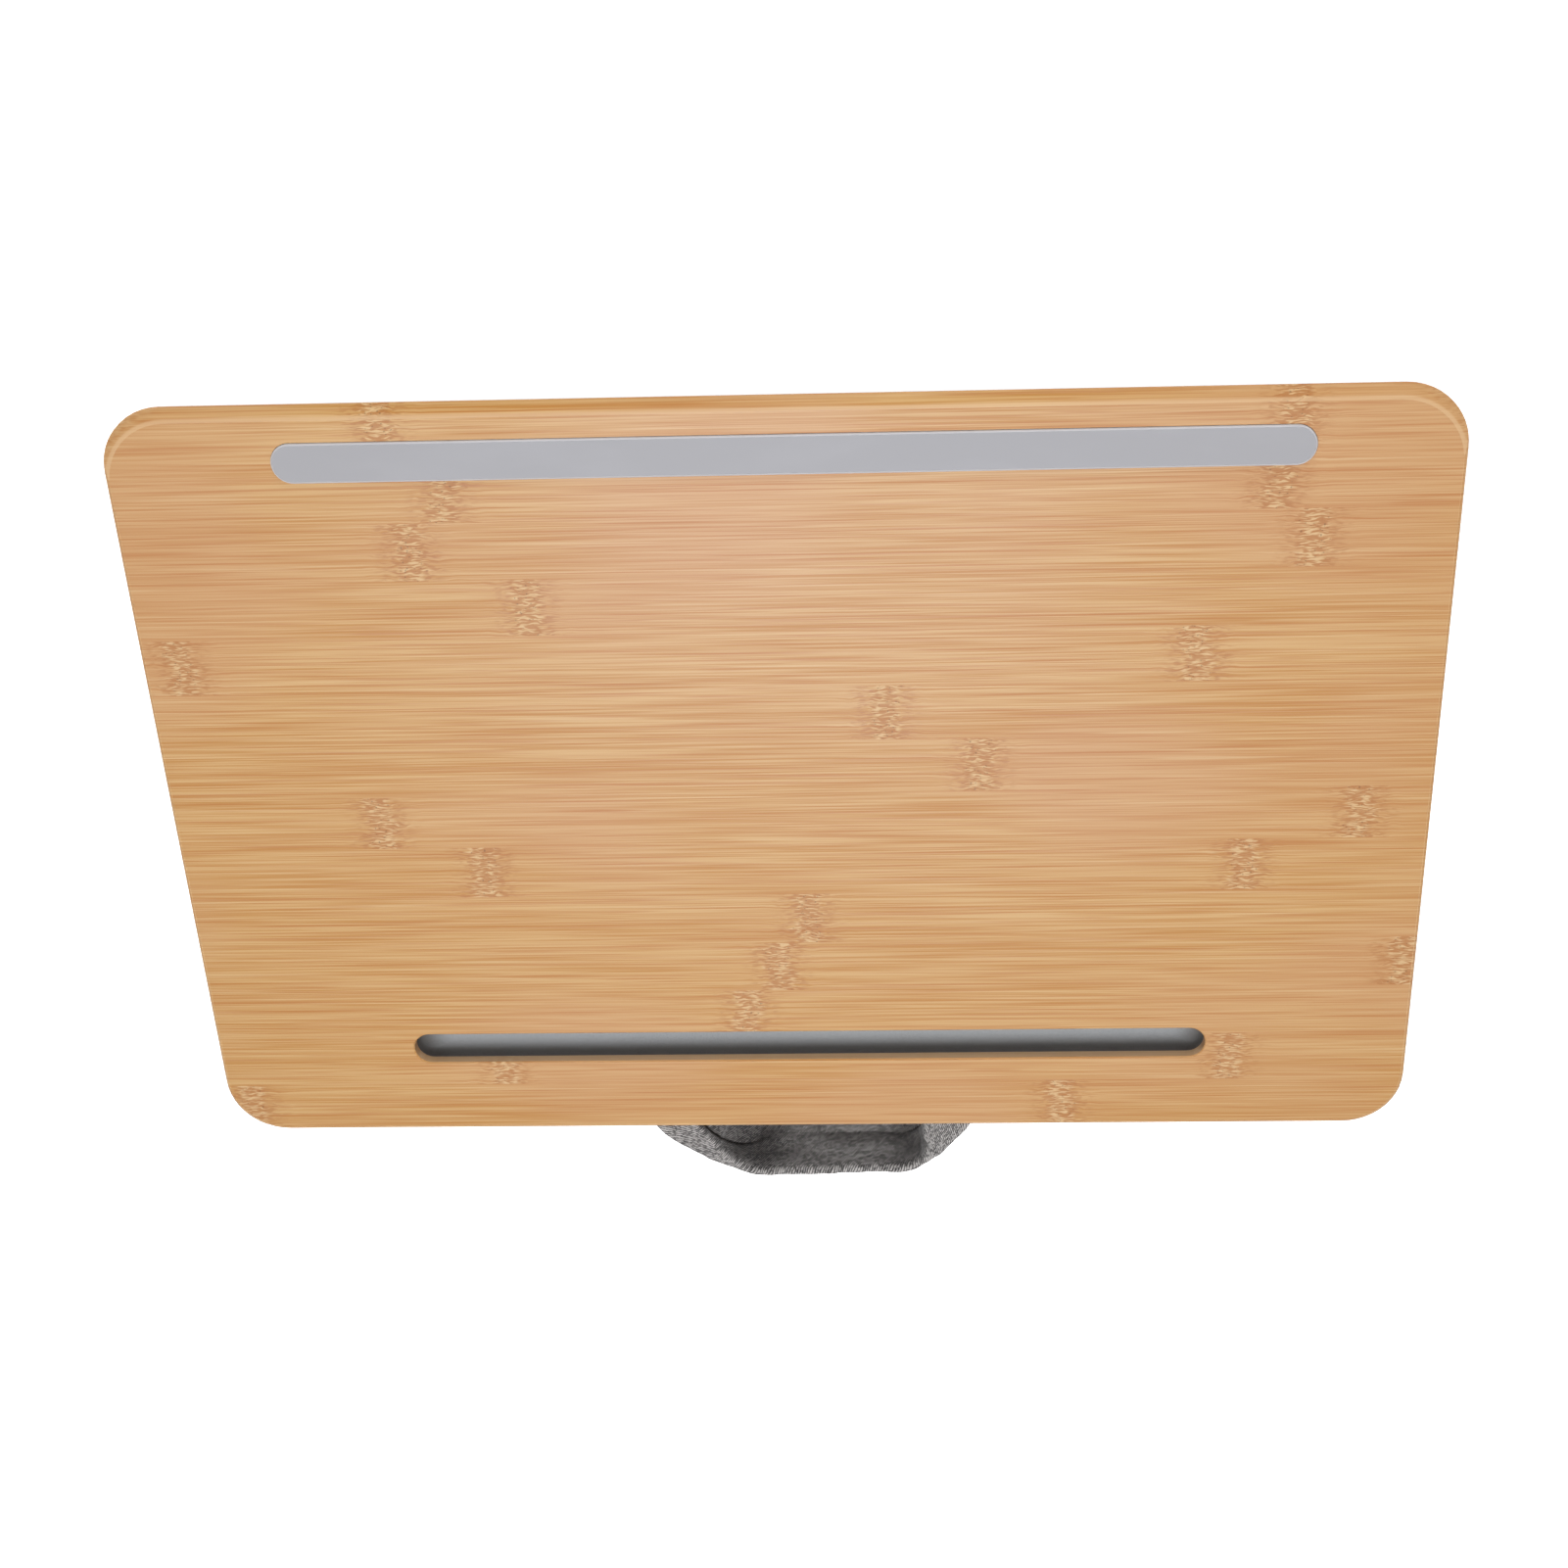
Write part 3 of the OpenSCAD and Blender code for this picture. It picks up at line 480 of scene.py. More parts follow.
# Device trough: an injection-moulded channel in grey plastic with a spark-eroded texture. It is bonded
# under the slot by its flange, and the edge of a tablet or phone stands in it.
TROUGH_GREY = srgb(184, 187, 190)
TROUGH_SPECK = srgb(168, 171, 174)
TROUGH_PAINTED_SHADE = srgb(86, 76, 66)
TROUGH_WALL_SHADE = 0.75
TROUGH_END = (160.0, 174.0)
TROUGH_END_SHADE = 0.7
TROUGH_GRAIN_PER_MM = (2.6, 2.6, 2.6)
TROUGH_ROUGHNESS = 0.38
trough_paint, trough_tree, trough_shader = new_material("moulded_grey_plastic", 0.5)
trough_place = object_place(trough_tree)
trough_grain = trough_tree.noise(trough_place, TROUGH_GRAIN_PER_MM, 3.0, 0.6)
trough_colour = trough_tree.blend(trough_tree.fade(trough_grain, 0.35, 0.7), TROUGH_GREY, TROUGH_SPECK)
# Painted shade: its walls and both ends are painted darker and browner, for the shade deep in the slot
trough_facing = trough_tree.add("ShaderNodeTexCoord").outputs["Normal"]
trough_wall_painted_shade = trough_tree.fade(trough_tree.axes(trough_facing)["Z"], 0.75, 0.05, 0.0, TROUGH_WALL_SHADE)
trough_along = trough_tree.axes(trough_place)["X"]
trough_end_painted_shade = trough_tree.fade(trough_tree.math("ABSOLUTE", trough_along), *TROUGH_END, 0.0, TROUGH_END_SHADE)
trough_painted_shade = trough_tree.math("MAXIMUM", trough_wall_painted_shade, trough_end_painted_shade)
trough_colour = trough_tree.blend(trough_painted_shade, trough_colour, TROUGH_PAINTED_SHADE)
trough_tree.link(trough_colour, trough_shader.inputs["Base Color"])
trough_rough = trough_tree.math("MULTIPLY_ADD", trough_grain, 0.2, TROUGH_ROUGHNESS)
trough_tree.link(trough_rough, trough_shader.inputs["Roughness"])
bump(trough_tree, trough_shader, trough_grain, 0.2, 0.1 * MM)
paint(nodes["device_trough"], trough_paint)

# Fastening tapes: black hook tape glued under the board and black loop tape sewn to the cushion. They hold
# the cushion on, and it peels off for washing.
HOOK_BLACK = srgb(44, 44, 46)
HOOK_TIP = srgb(92, 92, 95)
LOOP_BLACK = srgb(52, 52, 54)
LOOP_FUZZ = srgb(88, 88, 90)
HOOK_PITCH = 1.4
LOOP_FUZZ_PER_MM = (2.2, 2.2, 2.2)
hooks, hook_tree, hook_shader = new_material("hook_tape", 0.45)
hook_place = object_place(hook_tree)
hook_grid = hook_tree.stretch(hook_place, (1 / HOOK_PITCH, 1 / HOOK_PITCH, 0))
hook_cells = hook_tree.add("ShaderNodeTexVoronoi", {"Vector": hook_grid, "Scale": 1.0, "Randomness": 0.25})
hook_spots = hook_tree.fade(hook_cells.outputs["Distance"], 0.4, 0.12)
hook_colour = hook_tree.blend(hook_spots, HOOK_BLACK, HOOK_TIP)
hook_tree.link(hook_colour, hook_shader.inputs["Base Color"])
bump(hook_tree, hook_shader, hook_spots, 0.7, 0.4 * MM)
paint(nodes["hook_strips"], hooks)
loops, loop_tree, loop_shader = new_material("loop_tape", 0.9, Sheen_Weight=0.4)
loop_fuzz = loop_tree.noise(object_place(loop_tree), LOOP_FUZZ_PER_MM, 3.0, 0.7, 1.2)
loop_colour = loop_tree.blend(loop_tree.fade(loop_fuzz, 0.42, 0.62), LOOP_BLACK, LOOP_FUZZ)
loop_tree.link(loop_colour, loop_shader.inputs["Base Color"])
bump(loop_tree, loop_shader, loop_fuzz, 0.8, 0.5 * MM)
paint(nodes["loop_strips"], loops)

# Cushion top: a stiffened panel of dark woven cloth, sewn to both rolls along their top edge. It is cut out
# round the trough and carries the loop tapes.
PANEL_DARK = srgb(92, 92, 94)
PANEL_LIGHT = srgb(128, 128, 130)
PANEL_EDGE_R = 0.7 * MM
PANEL_CORNER_R = 25.2 * MM
TROUGH_ROOM = 0.6 * MM
WEAVE_PITCH = 0.9
# A wave texture of this scale has about one band in a millimetre
BAND_SCALE = 0.32
WEAVE_FUZZ_PER_MM = (1.5, 1.5, 1.5)
ARC_STEPS = 16
BEVEL_STEPS = 3


def arc_outline(half_x, half_y, corner_r, middle):
    """Points of a rectangle with round corners, counterclockwise."""
    points = []
    for quarter, (side_x, side_y) in enumerate(((1, 1), (-1, 1), (-1, -1), (1, -1))):
        for step in range(ARC_STEPS + 1):
            turn = math.radians(90 * (quarter + step / ARC_STEPS))
            x = middle[0] + side_x * (half_x - corner_r) + corner_r * math.cos(turn)
            y = middle[1] + side_y * (half_y - corner_r) + corner_r * math.sin(turn)
            points.append((x, y))
    return points


def cloth_plate(name, outlines, low_z, high_z, edge_r):
    """A flat plate of cloth with soft edges. The outlines after the first are its cut-outs."""
    curve = bpy.data.curves.new(name, "CURVE")
    curve.dimensions = "2D"
    curve.fill_mode = "BOTH"
    curve.extrude = (high_z - low_z) / 2 - edge_r
    curve.bevel_depth = edge_r
    curve.bevel_resolution = BEVEL_STEPS
    curve.offset = -edge_r
    for outline in outlines:
        spline = curve.splines.new("POLY")
        spline.points.add(len(outline) - 1)
        for point, (x, y) in zip(spline.points, outline):
            point.co = (x, y, 0, 1)
        spline.use_cyclic_u = True
    shaped = bpy.data.objects.new(name + "_curve", curve)
    shaped.location.z = (low_z + high_z) / 2
    scene.collection.objects.link(shaped)
    bpy.context.view_layer.update()
    mesh = bpy.data.meshes.new_from_object(shaped.evaluated_get(bpy.context.evaluated_depsgraph_get()))
    mesh.transform(shaped.matrix_world)
    bpy.data.objects.remove(shaped)
    mesh.name = name
    plate = bpy.data.objects.new(name, mesh)
    scene.collection.objects.link(plate)
    return plate


def middle_and_half(node):
    """The middle of a CAD node's box and half its size."""
    low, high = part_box(node)
    return (low + high) / 2, (high - low) / 2


woven, woven_tree, woven_shader = new_material("woven_panel_cloth", 0.85, Sheen_Weight=0.25)
woven_place = object_place(woven_tree)
threads = {"Vector": woven_place, "Scale": BAND_SCALE / WEAVE_PITCH}
warp = woven_tree.add("ShaderNodeTexWave", threads, bands_direction="X").outputs[1]
weft = woven_tree.add("ShaderNodeTexWave", threads, bands_direction="Y").outputs[1]
weave = woven_tree.times(warp, weft)
weave_fuzz = woven_tree.noise(woven_place, WEAVE_FUZZ_PER_MM, 3.0, 0.7)
woven_tone = woven_tree.plus(woven_tree.times(weave, 0.5), woven_tree.times(weave_fuzz, 0.6))
woven_colour = woven_tree.blend(woven_tree.fade(woven_tone, 0.2, 0.7), PANEL_DARK, PANEL_LIGHT)
woven_tree.link(woven_colour, woven_shader.inputs["Base Color"])
bump(woven_tree, woven_shader, weave, 0.5, 0.2 * MM)

panel_mid, panel_half = middle_and_half("top_panel")
flange_mid, flange_half = middle_and_half("device_trough")
cut_half_x = flange_half.x + TROUGH_ROOM
cut_half_y = flange_half.y + TROUGH_ROOM
cushion_top = cloth_plate(
    "cushion_top",
    [arc_outline(panel_half.x, panel_half.y, PANEL_CORNER_R, panel_mid),
     arc_outline(cut_half_x, cut_half_y, cut_half_y, flange_mid)],
    panel_mid.z - panel_half.z, panel_mid.z + panel_half.z, PANEL_EDGE_R)
paint(cushion_top, woven)
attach(cushion_top, "desk")
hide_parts("top_panel")

# Centre web: a flat piece of the same woven cloth that joins the two rolls under the panel, sewn to both
# of them along its long edges.
WEB_CORNER_R = 2 * MM
web_mid, web_half = middle_and_half("center_web")
cushion_web = cloth_plate("cushion_web", [arc_outline(web_half.x, web_half.y, WEB_CORNER_R, web_mid)],
                          web_mid.z - web_half.z, web_mid.z + web_half.z, PANEL_EDGE_R)
paint(cushion_web, woven)
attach(cushion_web, "desk")
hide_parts("center_web")

# Padded rolls: two tubes of grey melange knit filled with loose fibre, sewn to the panel along their top
# edge. The filling swells the cover, and the seam gathers it into small puckers.
MELANGE_DARK = srgb(58, 56, 56)
MELANGE_MID = srgb(122, 119, 118)
MELANGE_PALE = srgb(206, 202, 200)
MELANGE_PAINTED_SHADE = srgb(120, 115, 114)
# The cloth's map runs from 0 to 1 over this length, in metres
CLOTH_MAP = 0.6
KNIT_WAVER_PER_MM = (0.12, 0.12, 0)
KNIT_SPECKS_PER_MM = (2.6, 1.6, 0)
KNIT_CLOUD_PER_MM = (0.16, 0.5, 0)
KNIT_ROW_SHARE = 0.62
KNIT_WAVER_BY = 2.2
YARN_TONE = 0.55
SPECK_TONE = 1.0
CLOUD_TONE = 0.35
RIB_TONE = 0.75
RIB_MIDDLE = 0.6
# The strap's open middle, where folds get less painted shade: its place aside and its reach, in millimetres
OPEN_ASIDE = 12.0
OPEN_REACH = (14.0, 40.0)
# How the occlusion turns into painted shade, and how many samples it takes
PAINTED_SHADE_FADE = (0.3, 0.97)
PAINTED_SHADE_SAMPLES = 8
VOXEL = 5 * MM
SWELL_CAP = 3.2 * MM
SWELL_FRAMES = 20
SEAM_PIN_DEPTH = 4 * MM
PUCKER_DEPTH = 1.5 * MM
PUCKER_REACH = 13 * MM
PUCKER_PITCH = 12 * MM
LUMP_SIZE = 28 * MM
LUMP_HEIGHT = 1.1 * MM
SEAM_ROOM = 0.2 * MM
REAR_SPARE = 0.4 * MM
TROUGH_MARGIN = 3.5 * MM
TROUGH_PRESS = 0.7 * MM
TINY = 1e-9


def melange_group():
    """Salt and pepper yarns knitted in slanting ribs. The cloth's own map gives the place, in millimetres."""
    group, tree, given, result = new_group(
        "melange_knit", {"Rib Pitch": 1.2, "Slant": 0.35, "Contrast": 1.0},
        {"Colour": "Color", "Height": "Float"})
    cloth = tree.add("ShaderNodeUVMap", uv_map="cloth").outputs[0]
    place = tree.stretch(cloth, (CLOTH_MAP / MM, CLOTH_MAP / MM, 0))
    axes = tree.axes(place)
    waver = tree.noise(place, KNIT_WAVER_PER_MM, 2.0, 0.5)
    slanted = tree.math("MULTIPLY_ADD", axes["Y"], given["Slant"], axes["X"])
    column = tree.math("MULTIPLY_ADD", waver, KNIT_WAVER_BY, tree.math("DIVIDE", slanted, given["Rib Pitch"]))
    rib = tree.math("ABSOLUTE", tree.math("SINE", tree.times(column, math.pi)))
    chevron = tree.math("ABSOLUTE", tree.minus(tree.math("FRACT", column), 0.5))
    row_pitch = tree.times(given["Rib Pitch"], KNIT_ROW_SHARE)
    row = tree.plus(tree.math("DIVIDE", axes["Y"], row_pitch), chevron)
    loop = tree.math("ABSOLUTE", tree.math("SINE", tree.times(row, math.pi)))
    loop_place = tree.point(tree.math("FLOOR", column), tree.math("FLOOR", row))
    yarn = tree.add("ShaderNodeTexWhiteNoise", {"Vector": loop_place}, noise_dimensions="2D").outputs["Value"]
    specks = tree.noise(place, KNIT_SPECKS_PER_MM, 1.0, 0.7)
    cloud = tree.noise(place, KNIT_CLOUD_PER_MM, 2.0, 0.6)
    tone = tree.times(tree.minus(yarn, 0.5), YARN_TONE)
    tone = tree.sway(tone, specks, SPECK_TONE)
    tone = tree.sway(tone, cloud, CLOUD_TONE)
    tone = tree.sway(tone, rib, RIB_TONE, RIB_MIDDLE)
    tone = tree.math("MULTIPLY_ADD", tone, given["Contrast"], 0.5)
    dark = tree.blend(tree.fade(tone, 0.0, 0.5), MELANGE_DARK, MELANGE_MID)
    tree.link(tree.blend(tree.fade(tone, 0.5, 1.0), dark, MELANGE_PALE), result["Colour"])
    height = tree.plus(tree.times(rib, 0.6), tree.times(loop, 0.3))
    tree.link(tree.math("MULTIPLY_ADD", specks, 0.3, height), result["Height"])
    return group


melange_knit = melange_group()


def melange_material(name, rib_pitch, slant, contrast, shade_reach, middle_share):
    """The knit, with painted shade darkening its folds and nooks within shade_reach, and only middle_share of
    it in the strap's middle.
    """
    material, tree, shader = new_material(
        name, 0.92, Sheen_Weight=0.35, Sheen_Roughness=0.6, Specular_IOR_Level=0.2)
    knit = tree.add("ShaderNodeGroup", {"Rib Pitch": rib_pitch, "Slant": slant, "Contrast": contrast},
                    node_tree=melange_knit)
    # Painted shade: occlusion darkens the colour in folds and nooks, and more towards the strap's ends
    occlusion = tree.add(
        "ShaderNodeAmbientOcclusion", {"Distance": shade_reach}, samples=PAINTED_SHADE_SAMPLES).outputs["AO"]
    from_middle = tree.math("ABSOLUTE", tree.plus(tree.axes(object_place(tree))["X"], OPEN_ASIDE))
    aside = tree.fade(from_middle, *OPEN_REACH, middle_share, 1.0)
    painted_shade = tree.times(tree.fade(occlusion, *PAINTED_SHADE_FADE, 1.0, 0.0), aside)
    shaded = tree.blend(painted_shade, knit.outputs["Colour"], MELANGE_PAINTED_SHADE, mode="MULTIPLY")
    tree.link(shaded, shader.inputs["Base Color"])
    bump(tree, shader, knit.outputs["Height"], 0.6, 0.3 * MM)
    return material


def map_cloth(mesh, places):
    """Gives the mesh the cloth's map: a flat place in metres for each of its points."""
    corner_points = np.zeros(len(mesh.loops), np.int32)
    mesh.loops.foreach_get("vertex_index", corner_points)
    layer = mesh.uv_layers.new(name="cloth")
    layer.data.foreach_set("uv", (np.asarray(places)[corner_points] / CLOTH_MAP).ravel())


roll_cloth = melange_material(
    "melange_roll_cloth", rib_pitch=1.3, slant=0.35, contrast=0.9, shade_reach=16 * MM, middle_share=1.0)


def points_of(mesh):
    """The mesh's points as rows of x, y and z."""
    flat = np.zeros(len(mesh.vertices) * 3, np.float32)
    mesh.vertices.foreach_get("co", flat)
    return flat.reshape(-1, 3).astype(float)


def applied(obj):
    """Replaces the object's mesh by what its modifiers make of it."""
    mesh = bpy.data.meshes.new_from_object(obj.evaluated_get(bpy.context.evaluated_depsgraph_get()))
    obj.modifiers.clear()
    obj.data = mesh


def swell(obj, top_z):
    """Fills the closed cover as a cloth that is held along its top seam, and keeps the growth small."""
    before = points_of(obj.data)
    pins = obj.vertex_groups.new(name="seam")
    pins.add([int(i) for i in np.nonzero(before[:, 2] > top_z - SEAM_PIN_DEPTH)[0]], 1.0, "REPLACE")
    cloth = obj.modifiers.new("filled", "CLOTH")
    cloth.settings.use_pressure = True
    cloth.settings.uniform_pressure_force = 4.0
    cloth.settings.effector_weights.gravity = 0.0
    cloth.settings.vertex_group_mass = "seam"
    cloth.settings.tension_stiffness = 8.0
    cloth.settings.compression_stiffness = 6.0
    cloth.settings.bending_stiffness = 0.3
    cloth.settings.quality = 6
    for step in range(1, SWELL_FRAMES + 1):
        scene.frame_set(step)
    applied(obj)
    scene.frame_set(1)
    after = points_of(obj.data)
    move = after - before
    length = np.linalg.norm(move, axis=1, keepdims=True)
    move *= np.minimum(1.0, SWELL_CAP / np.maximum(length, TINY))
    obj.data.vertices.foreach_set("co", (before + move).ravel())


def padded_roll(name, source, shift_y):
    """A filled roll of knit cloth that fits the CAD cover and rests flat on what the desk stands on."""
    mesh = nodes["front_filling"].data.copy()
    mesh.transform(Matrix.Translation((0, shift_y, 0)))
    roll = bpy.data.objects.new(name, mesh)
    scene.collection.objects.link(roll)
    low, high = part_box(source)
    remesh = roll.modifiers.new("even", "REMESH")
    remesh.mode = "VOXEL"
    remesh.voxel_size = VOXEL
    applied(roll)
    swell(roll, high.z)
    smooth = roll.modifiers.new("smooth", "SUBSURF")
    smooth.levels = smooth.render_levels = 1
    applied(roll)
    co = points_of(roll.data)
    # Puckers under the seam, which die out down the side and grow towards the corners
    middle = (np.array(low) + np.array(high)) / 2
    out = co - middle
    out[:, 2] = 0
    out /= np.maximum(np.linalg.norm(out, axis=1, keepdims=True), TINY)
    for i, point in enumerate(co):
        depth = high.z - point[2]
        along = point[0] + point[1]
        wander = noise.noise(Vector((along / (3 * PUCKER_PITCH), shift_y, 0.3)))
        fold = math.sin(2 * math.pi * (along / PUCKER_PITCH + 1.4 * wander))
        fade_down = math.exp(-depth / PUCKER_REACH)
        lump = noise.noise(Vector(point) / LUMP_SIZE) * LUMP_HEIGHT
        co[i] -= out[i] * (PUCKER_DEPTH * fade_down * (0.5 + 0.5 * fold) * (0.6 + abs(wander)) - 0.5 * lump)
    co[:, 2] = np.clip(co[:, 2], low.z, high.z - SEAM_ROOM)
    # The trough presses the filling down
    aside = np.maximum(np.abs(co[:, 0] - flange_mid.x) - (flange_half.x - flange_half.y), 0)
    near_trough = np.hypot(aside, co[:, 1] - flange_mid.y) < flange_half.y + TROUGH_MARGIN
    pressed_z = flange_mid.z - flange_half.z - TROUGH_PRESS
    co[:, 2] = np.where(near_trough, np.minimum(co[:, 2], pressed_z), co[:, 2])
    co[:, 1] = np.minimum(co[:, 1], high.y + REAR_SPARE)
    roll.data.vertices.foreach_set("co", co.ravel())
    roll.data.shade_smooth()
    # The cloth runs round the roll, so its map has the length along it and the girth round it
    round_turn = np.arctan2(co[:, 2] - middle[2], co[:, 1] - middle[1])
    girth = np.abs(round_turn) * (high.y - low.y + high.z - low.z) / math.pi
    map_cloth(roll.data, np.stack([co[:, 0], girth], 1))
    paint(roll, roll_cloth)
    return roll


front_roll = padded_roll("front_roll", "front_bolster", 0.0)
roll_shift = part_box("rear_bolster")[0].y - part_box("front_bolster")[0].y
rear_roll = padded_roll("rear_roll", "rear_bolster", roll_shift)
for roll, hidden in ((front_roll, ("front_bolster", "front_filling")),
                     (rear_roll, ("rear_bolster", "rear_filling"))):
    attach(roll, "desk")
    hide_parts(*hidden)

# Roll stitching: a row of lock stitches in grey thread just under the seam of each roll, which holds the
# knit to the panel's edge.
THREAD_GREY = srgb(150, 148, 146)
THREAD_DARK = srgb(104, 102, 101)
STITCH_PITCH = 4.2 * MM
STITCH_LENGTH = 3.0 * MM
STITCH_R = 0.42 * MM
STITCH_DROP = 5.0 * MM
STITCH_SIDES = 6
STITCH_SHARES = (-1.0, -0.8, -0.3, 0.3, 0.8, 1.0)
STITCH_SWELL = (0.05, 0.7, 1.0, 1.0, 0.7, 0.05)
STITCH_LIFT = 0.35
STITCH_SINK = 0.5
SEARCH_OUT = 30 * MM
SEARCH_REACH = 90 * MM
thread, thread_tree, thread_shader = new_material("sewing_thread", 0.6, Sheen_Weight=0.2)
thread_place = object_place(thread_tree)
thread_twist = thread_tree.add("ShaderNodeTexWave", {"Vector": thread_place, "Scale": 0.9, "Distortion": 1.0},
                               bands_direction="DIAGONAL").outputs[1]
thread_colour = thread_tree.blend(thread_twist, THREAD_GREY, THREAD_DARK)
thread_tree.link(thread_colour, thread_shader.inputs["Base Color"])
bump(thread_tree, thread_shader, thread_twist, 0.4, 0.1 * MM)


def tube_faces(start, rings, sides):
    """The faces of a closed tube whose points come ring by ring, from the start on."""
    faces = []
    for ring in range(rings - 1):
        for k in range(sides):
            a = start + ring * sides + k
            b = start + ring * sides + (k + 1) % sides
            faces.append((a, b, b + sides, a + sides))
    faces.append(tuple(start + k for k in reversed(range(sides))))
    faces.append(tuple(start + (rings - 1) * sides + k for k in range(sides)))
    return faces


def stitch_row(name, places):
    """Stitches as small spindles of thread, each at a middle, a direction and the cloth's outward side."""
    points, faces = [], []
    for middle, ahead, outward in places:
        ahead = ahead.normalized()
        side = ahead.cross(outward).normalized()
        lift = side.cross(ahead).normalized()
        start = len(points)
        for share, swelling in zip(STITCH_SHARES, STITCH_SWELL):
            height = STITCH_R * (STITCH_LIFT - STITCH_SINK * abs(share) ** 3)
            centre = middle + ahead * (share * STITCH_LENGTH / 2) + lift * height
            for k in range(STITCH_SIDES):
                turn = 2 * math.pi * k / STITCH_SIDES
                points.append(centre + STITCH_R * swelling * (side * math.cos(turn) + lift * math.sin(turn)))
        faces += tube_faces(start, len(STITCH_SHARES), STITCH_SIDES)
    mesh = bpy.data.meshes.new(name)
    mesh.from_pydata([tuple(p) for p in points], [], faces)
    mesh.shade_smooth()
    row = bpy.data.objects.new(name, mesh)
    scene.collection.objects.link(row)
    paint(row, thread)
    return row


def outline_walk(points, pitch):
    """Points and directions at an even pitch along a closed outline."""
    walk, carried = [], 0.0
    for (ax, ay), (bx, by) in zip(points, points[1:] + points[:1]):
        length = math.hypot(bx - ax, by - ay)
        if length < TINY:
            continue
        direction = Vector(((bx - ax) / length, (by - ay) / length, 0))
        at = pitch - carried
        while at <= length:
            walk.append((Vector((ax, ay, 0)) + direction * at, direction))
            at += pitch
        carried = length - (at - pitch)
    return walk


def roll_stitching(name, roll, source):
    """The stitches round one roll, each set on the cloth where a line from outside meets it."""
    low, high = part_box(source)
    middle, half = (low + high) / 2, (high - low) / 2
    skin_points = [vertex.co.copy() for vertex in roll.data.vertices]
    skin = BVHTree.FromPolygons(skin_points, [face.vertices[:] for face in roll.data.polygons])
    places = []
    for point, direction in outline_walk(arc_outline(half.x, half.y, half.y / 2, middle), STITCH_PITCH):
        outward = Vector((direction.y, -direction.x, 0))
        start = Vector((point.x, point.y, high.z - STITCH_DROP)) + outward * SEARCH_OUT
        hit, normal, _, _ = skin.ray_cast(start, -outward, SEARCH_REACH)
        if hit is not None:
            ahead = (direction - normal * direction.dot(normal)).normalized()
            places.append((hit, ahead, normal))
    return stitch_row(name, places)


for row_name, roll, source in (("front_roll_stitches", front_roll, "front_bolster"),
                               ("rear_roll_stitches", rear_roll, "rear_bolster")):
    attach(roll_stitching(row_name, roll, source), "desk")

# Carry handle: a soft strap of the same melange knit, padded over webbing. Its flat ends are sewn to the
# panel under the board's far edge. Further out it folds over along a sharp crease, which runs slantwise
# near both ends, and hangs on edge with a lip below.
HINGE = Vector(frame["joints"][0]["pos_m"])
STRAP_W = 30 * MM
STRAP_END_T = 2.4 * MM
STRAP_T = 3.4 * MM
STRAP_SPAN = 121 * MM
STRAP_OUT = 49.2 * MM
STRAP_DROP = 5.2 * MM
STRAP_LEAN = 10 * MM
STRAP_SKEW = 2.4 * MM
ANCHOR_L = 10.5 * MM
CREASE_R = 0.75 * MM
LIP_CREASE_R = 0.7 * MM
STRAP_EDGE = 0.75 * MM
STRAP_EDGE_LEAST = 0.08
HANG_TURN = 72
LIP_TURN = 48
# The shape along the strap, each from a sewn end to its middle: the place of its rim, how far it is folded
# and padded, and the shares of its width that lie flat at the rim or hang
HANG_LEFT = (0.73, 0.73, 0.73, 0.73, 0.74, 0.75, 0.75, 0.75)
HANG_RIGHT = (0.6, 0.5, 0.25, 0.15, 0.42, 0.76, 0.76, 0.75)
RIM_X = (1, 0.975, 0.91, 0.775, 0.62, 0.47, 0.24, 0)
RIM_OUT = (0, 0.23, 0.45, 0.665, 0.86, 0.99, 1, 1)
RIM_DROP = (0, 0.1, 0.3, 0.55, 0.8, 1, 1, 1)
RIM_LEAN = (0, 0.02, 0.13, 0.38, 0.68, 0.95, 1, 1)
RIM_PEAK = 0.47
PAD = (0, 0.2, 0.6, 1, 1, 1, 1, 1)
FLAT_LEFT = (0.8, 0.78, 0.73, 0.46, 0.11, 0.052, 0.052, 0.052)
FLAT_RIGHT = (0.8, 0.7, 0.55, 0.36, 0.12, 0.052, 0.052, 0.052)
FLAT_LEAST = 0.052
HANG_LEAST = 0.1
FOLD = (0, 0.35, 1, 1.12, 1.14, 1.1, 1, 0.97)
HALF_STEPS = 100
AHEAD_STEP = 0.015
ALONG_STEP = 0.3 * MM
RIM_WAVE = 1.2 * MM
RIM_LUMP = 0.5 * MM
CLOTH_WAVE = 1.5 * MM
CLOTH_RIPPLE = 0.5 * MM
PINCH_DEPTH = 1.1 * MM
PINCH_HALF = 0.7 * MM


def along_table(table, t):
    """A value between a table's entries, on a smooth curve through them."""
    last = len(table) - 1
    i = min(int(t * last), last - 1)
    f = t * last - i
    a, b, c, d = table[max(i - 1, 0)], table[i], table[i + 1], table[min(i + 2, last)]
    return b + f * ((c - a) + f * ((2 * a - 5 * b + 4 * c - d) + f * (3 * (b - c) + d - a))) / 2


def rim_point(t):
    """A point of the strap's outer rim, from one sewn end at -1 to the other at 1."""
    s = 1 - abs(t)
    x_share = math.copysign(1, t) * along_table(RIM_X, s)
    skew = STRAP_SKEW / 2 * (x_share / RIM_PEAK - 1)
    wave = noise.noise(Vector((t * 7, 3, 0))) * RIM_WAVE
    lump = noise.noise(Vector((t * 19, 5, 0))) * RIM_LUMP
    skew += (wave + lump) * min(1, s * 2)
    return Vector(((STRAP_SPAN + STRAP_W) / 2 * x_share - STRAP_LEAN * along_table(RIM_LEAN, s),
                   (STRAP_OUT + skew) * along_table(RIM_OUT, s), -STRAP_DROP * along_table(RIM_DROP, s)))


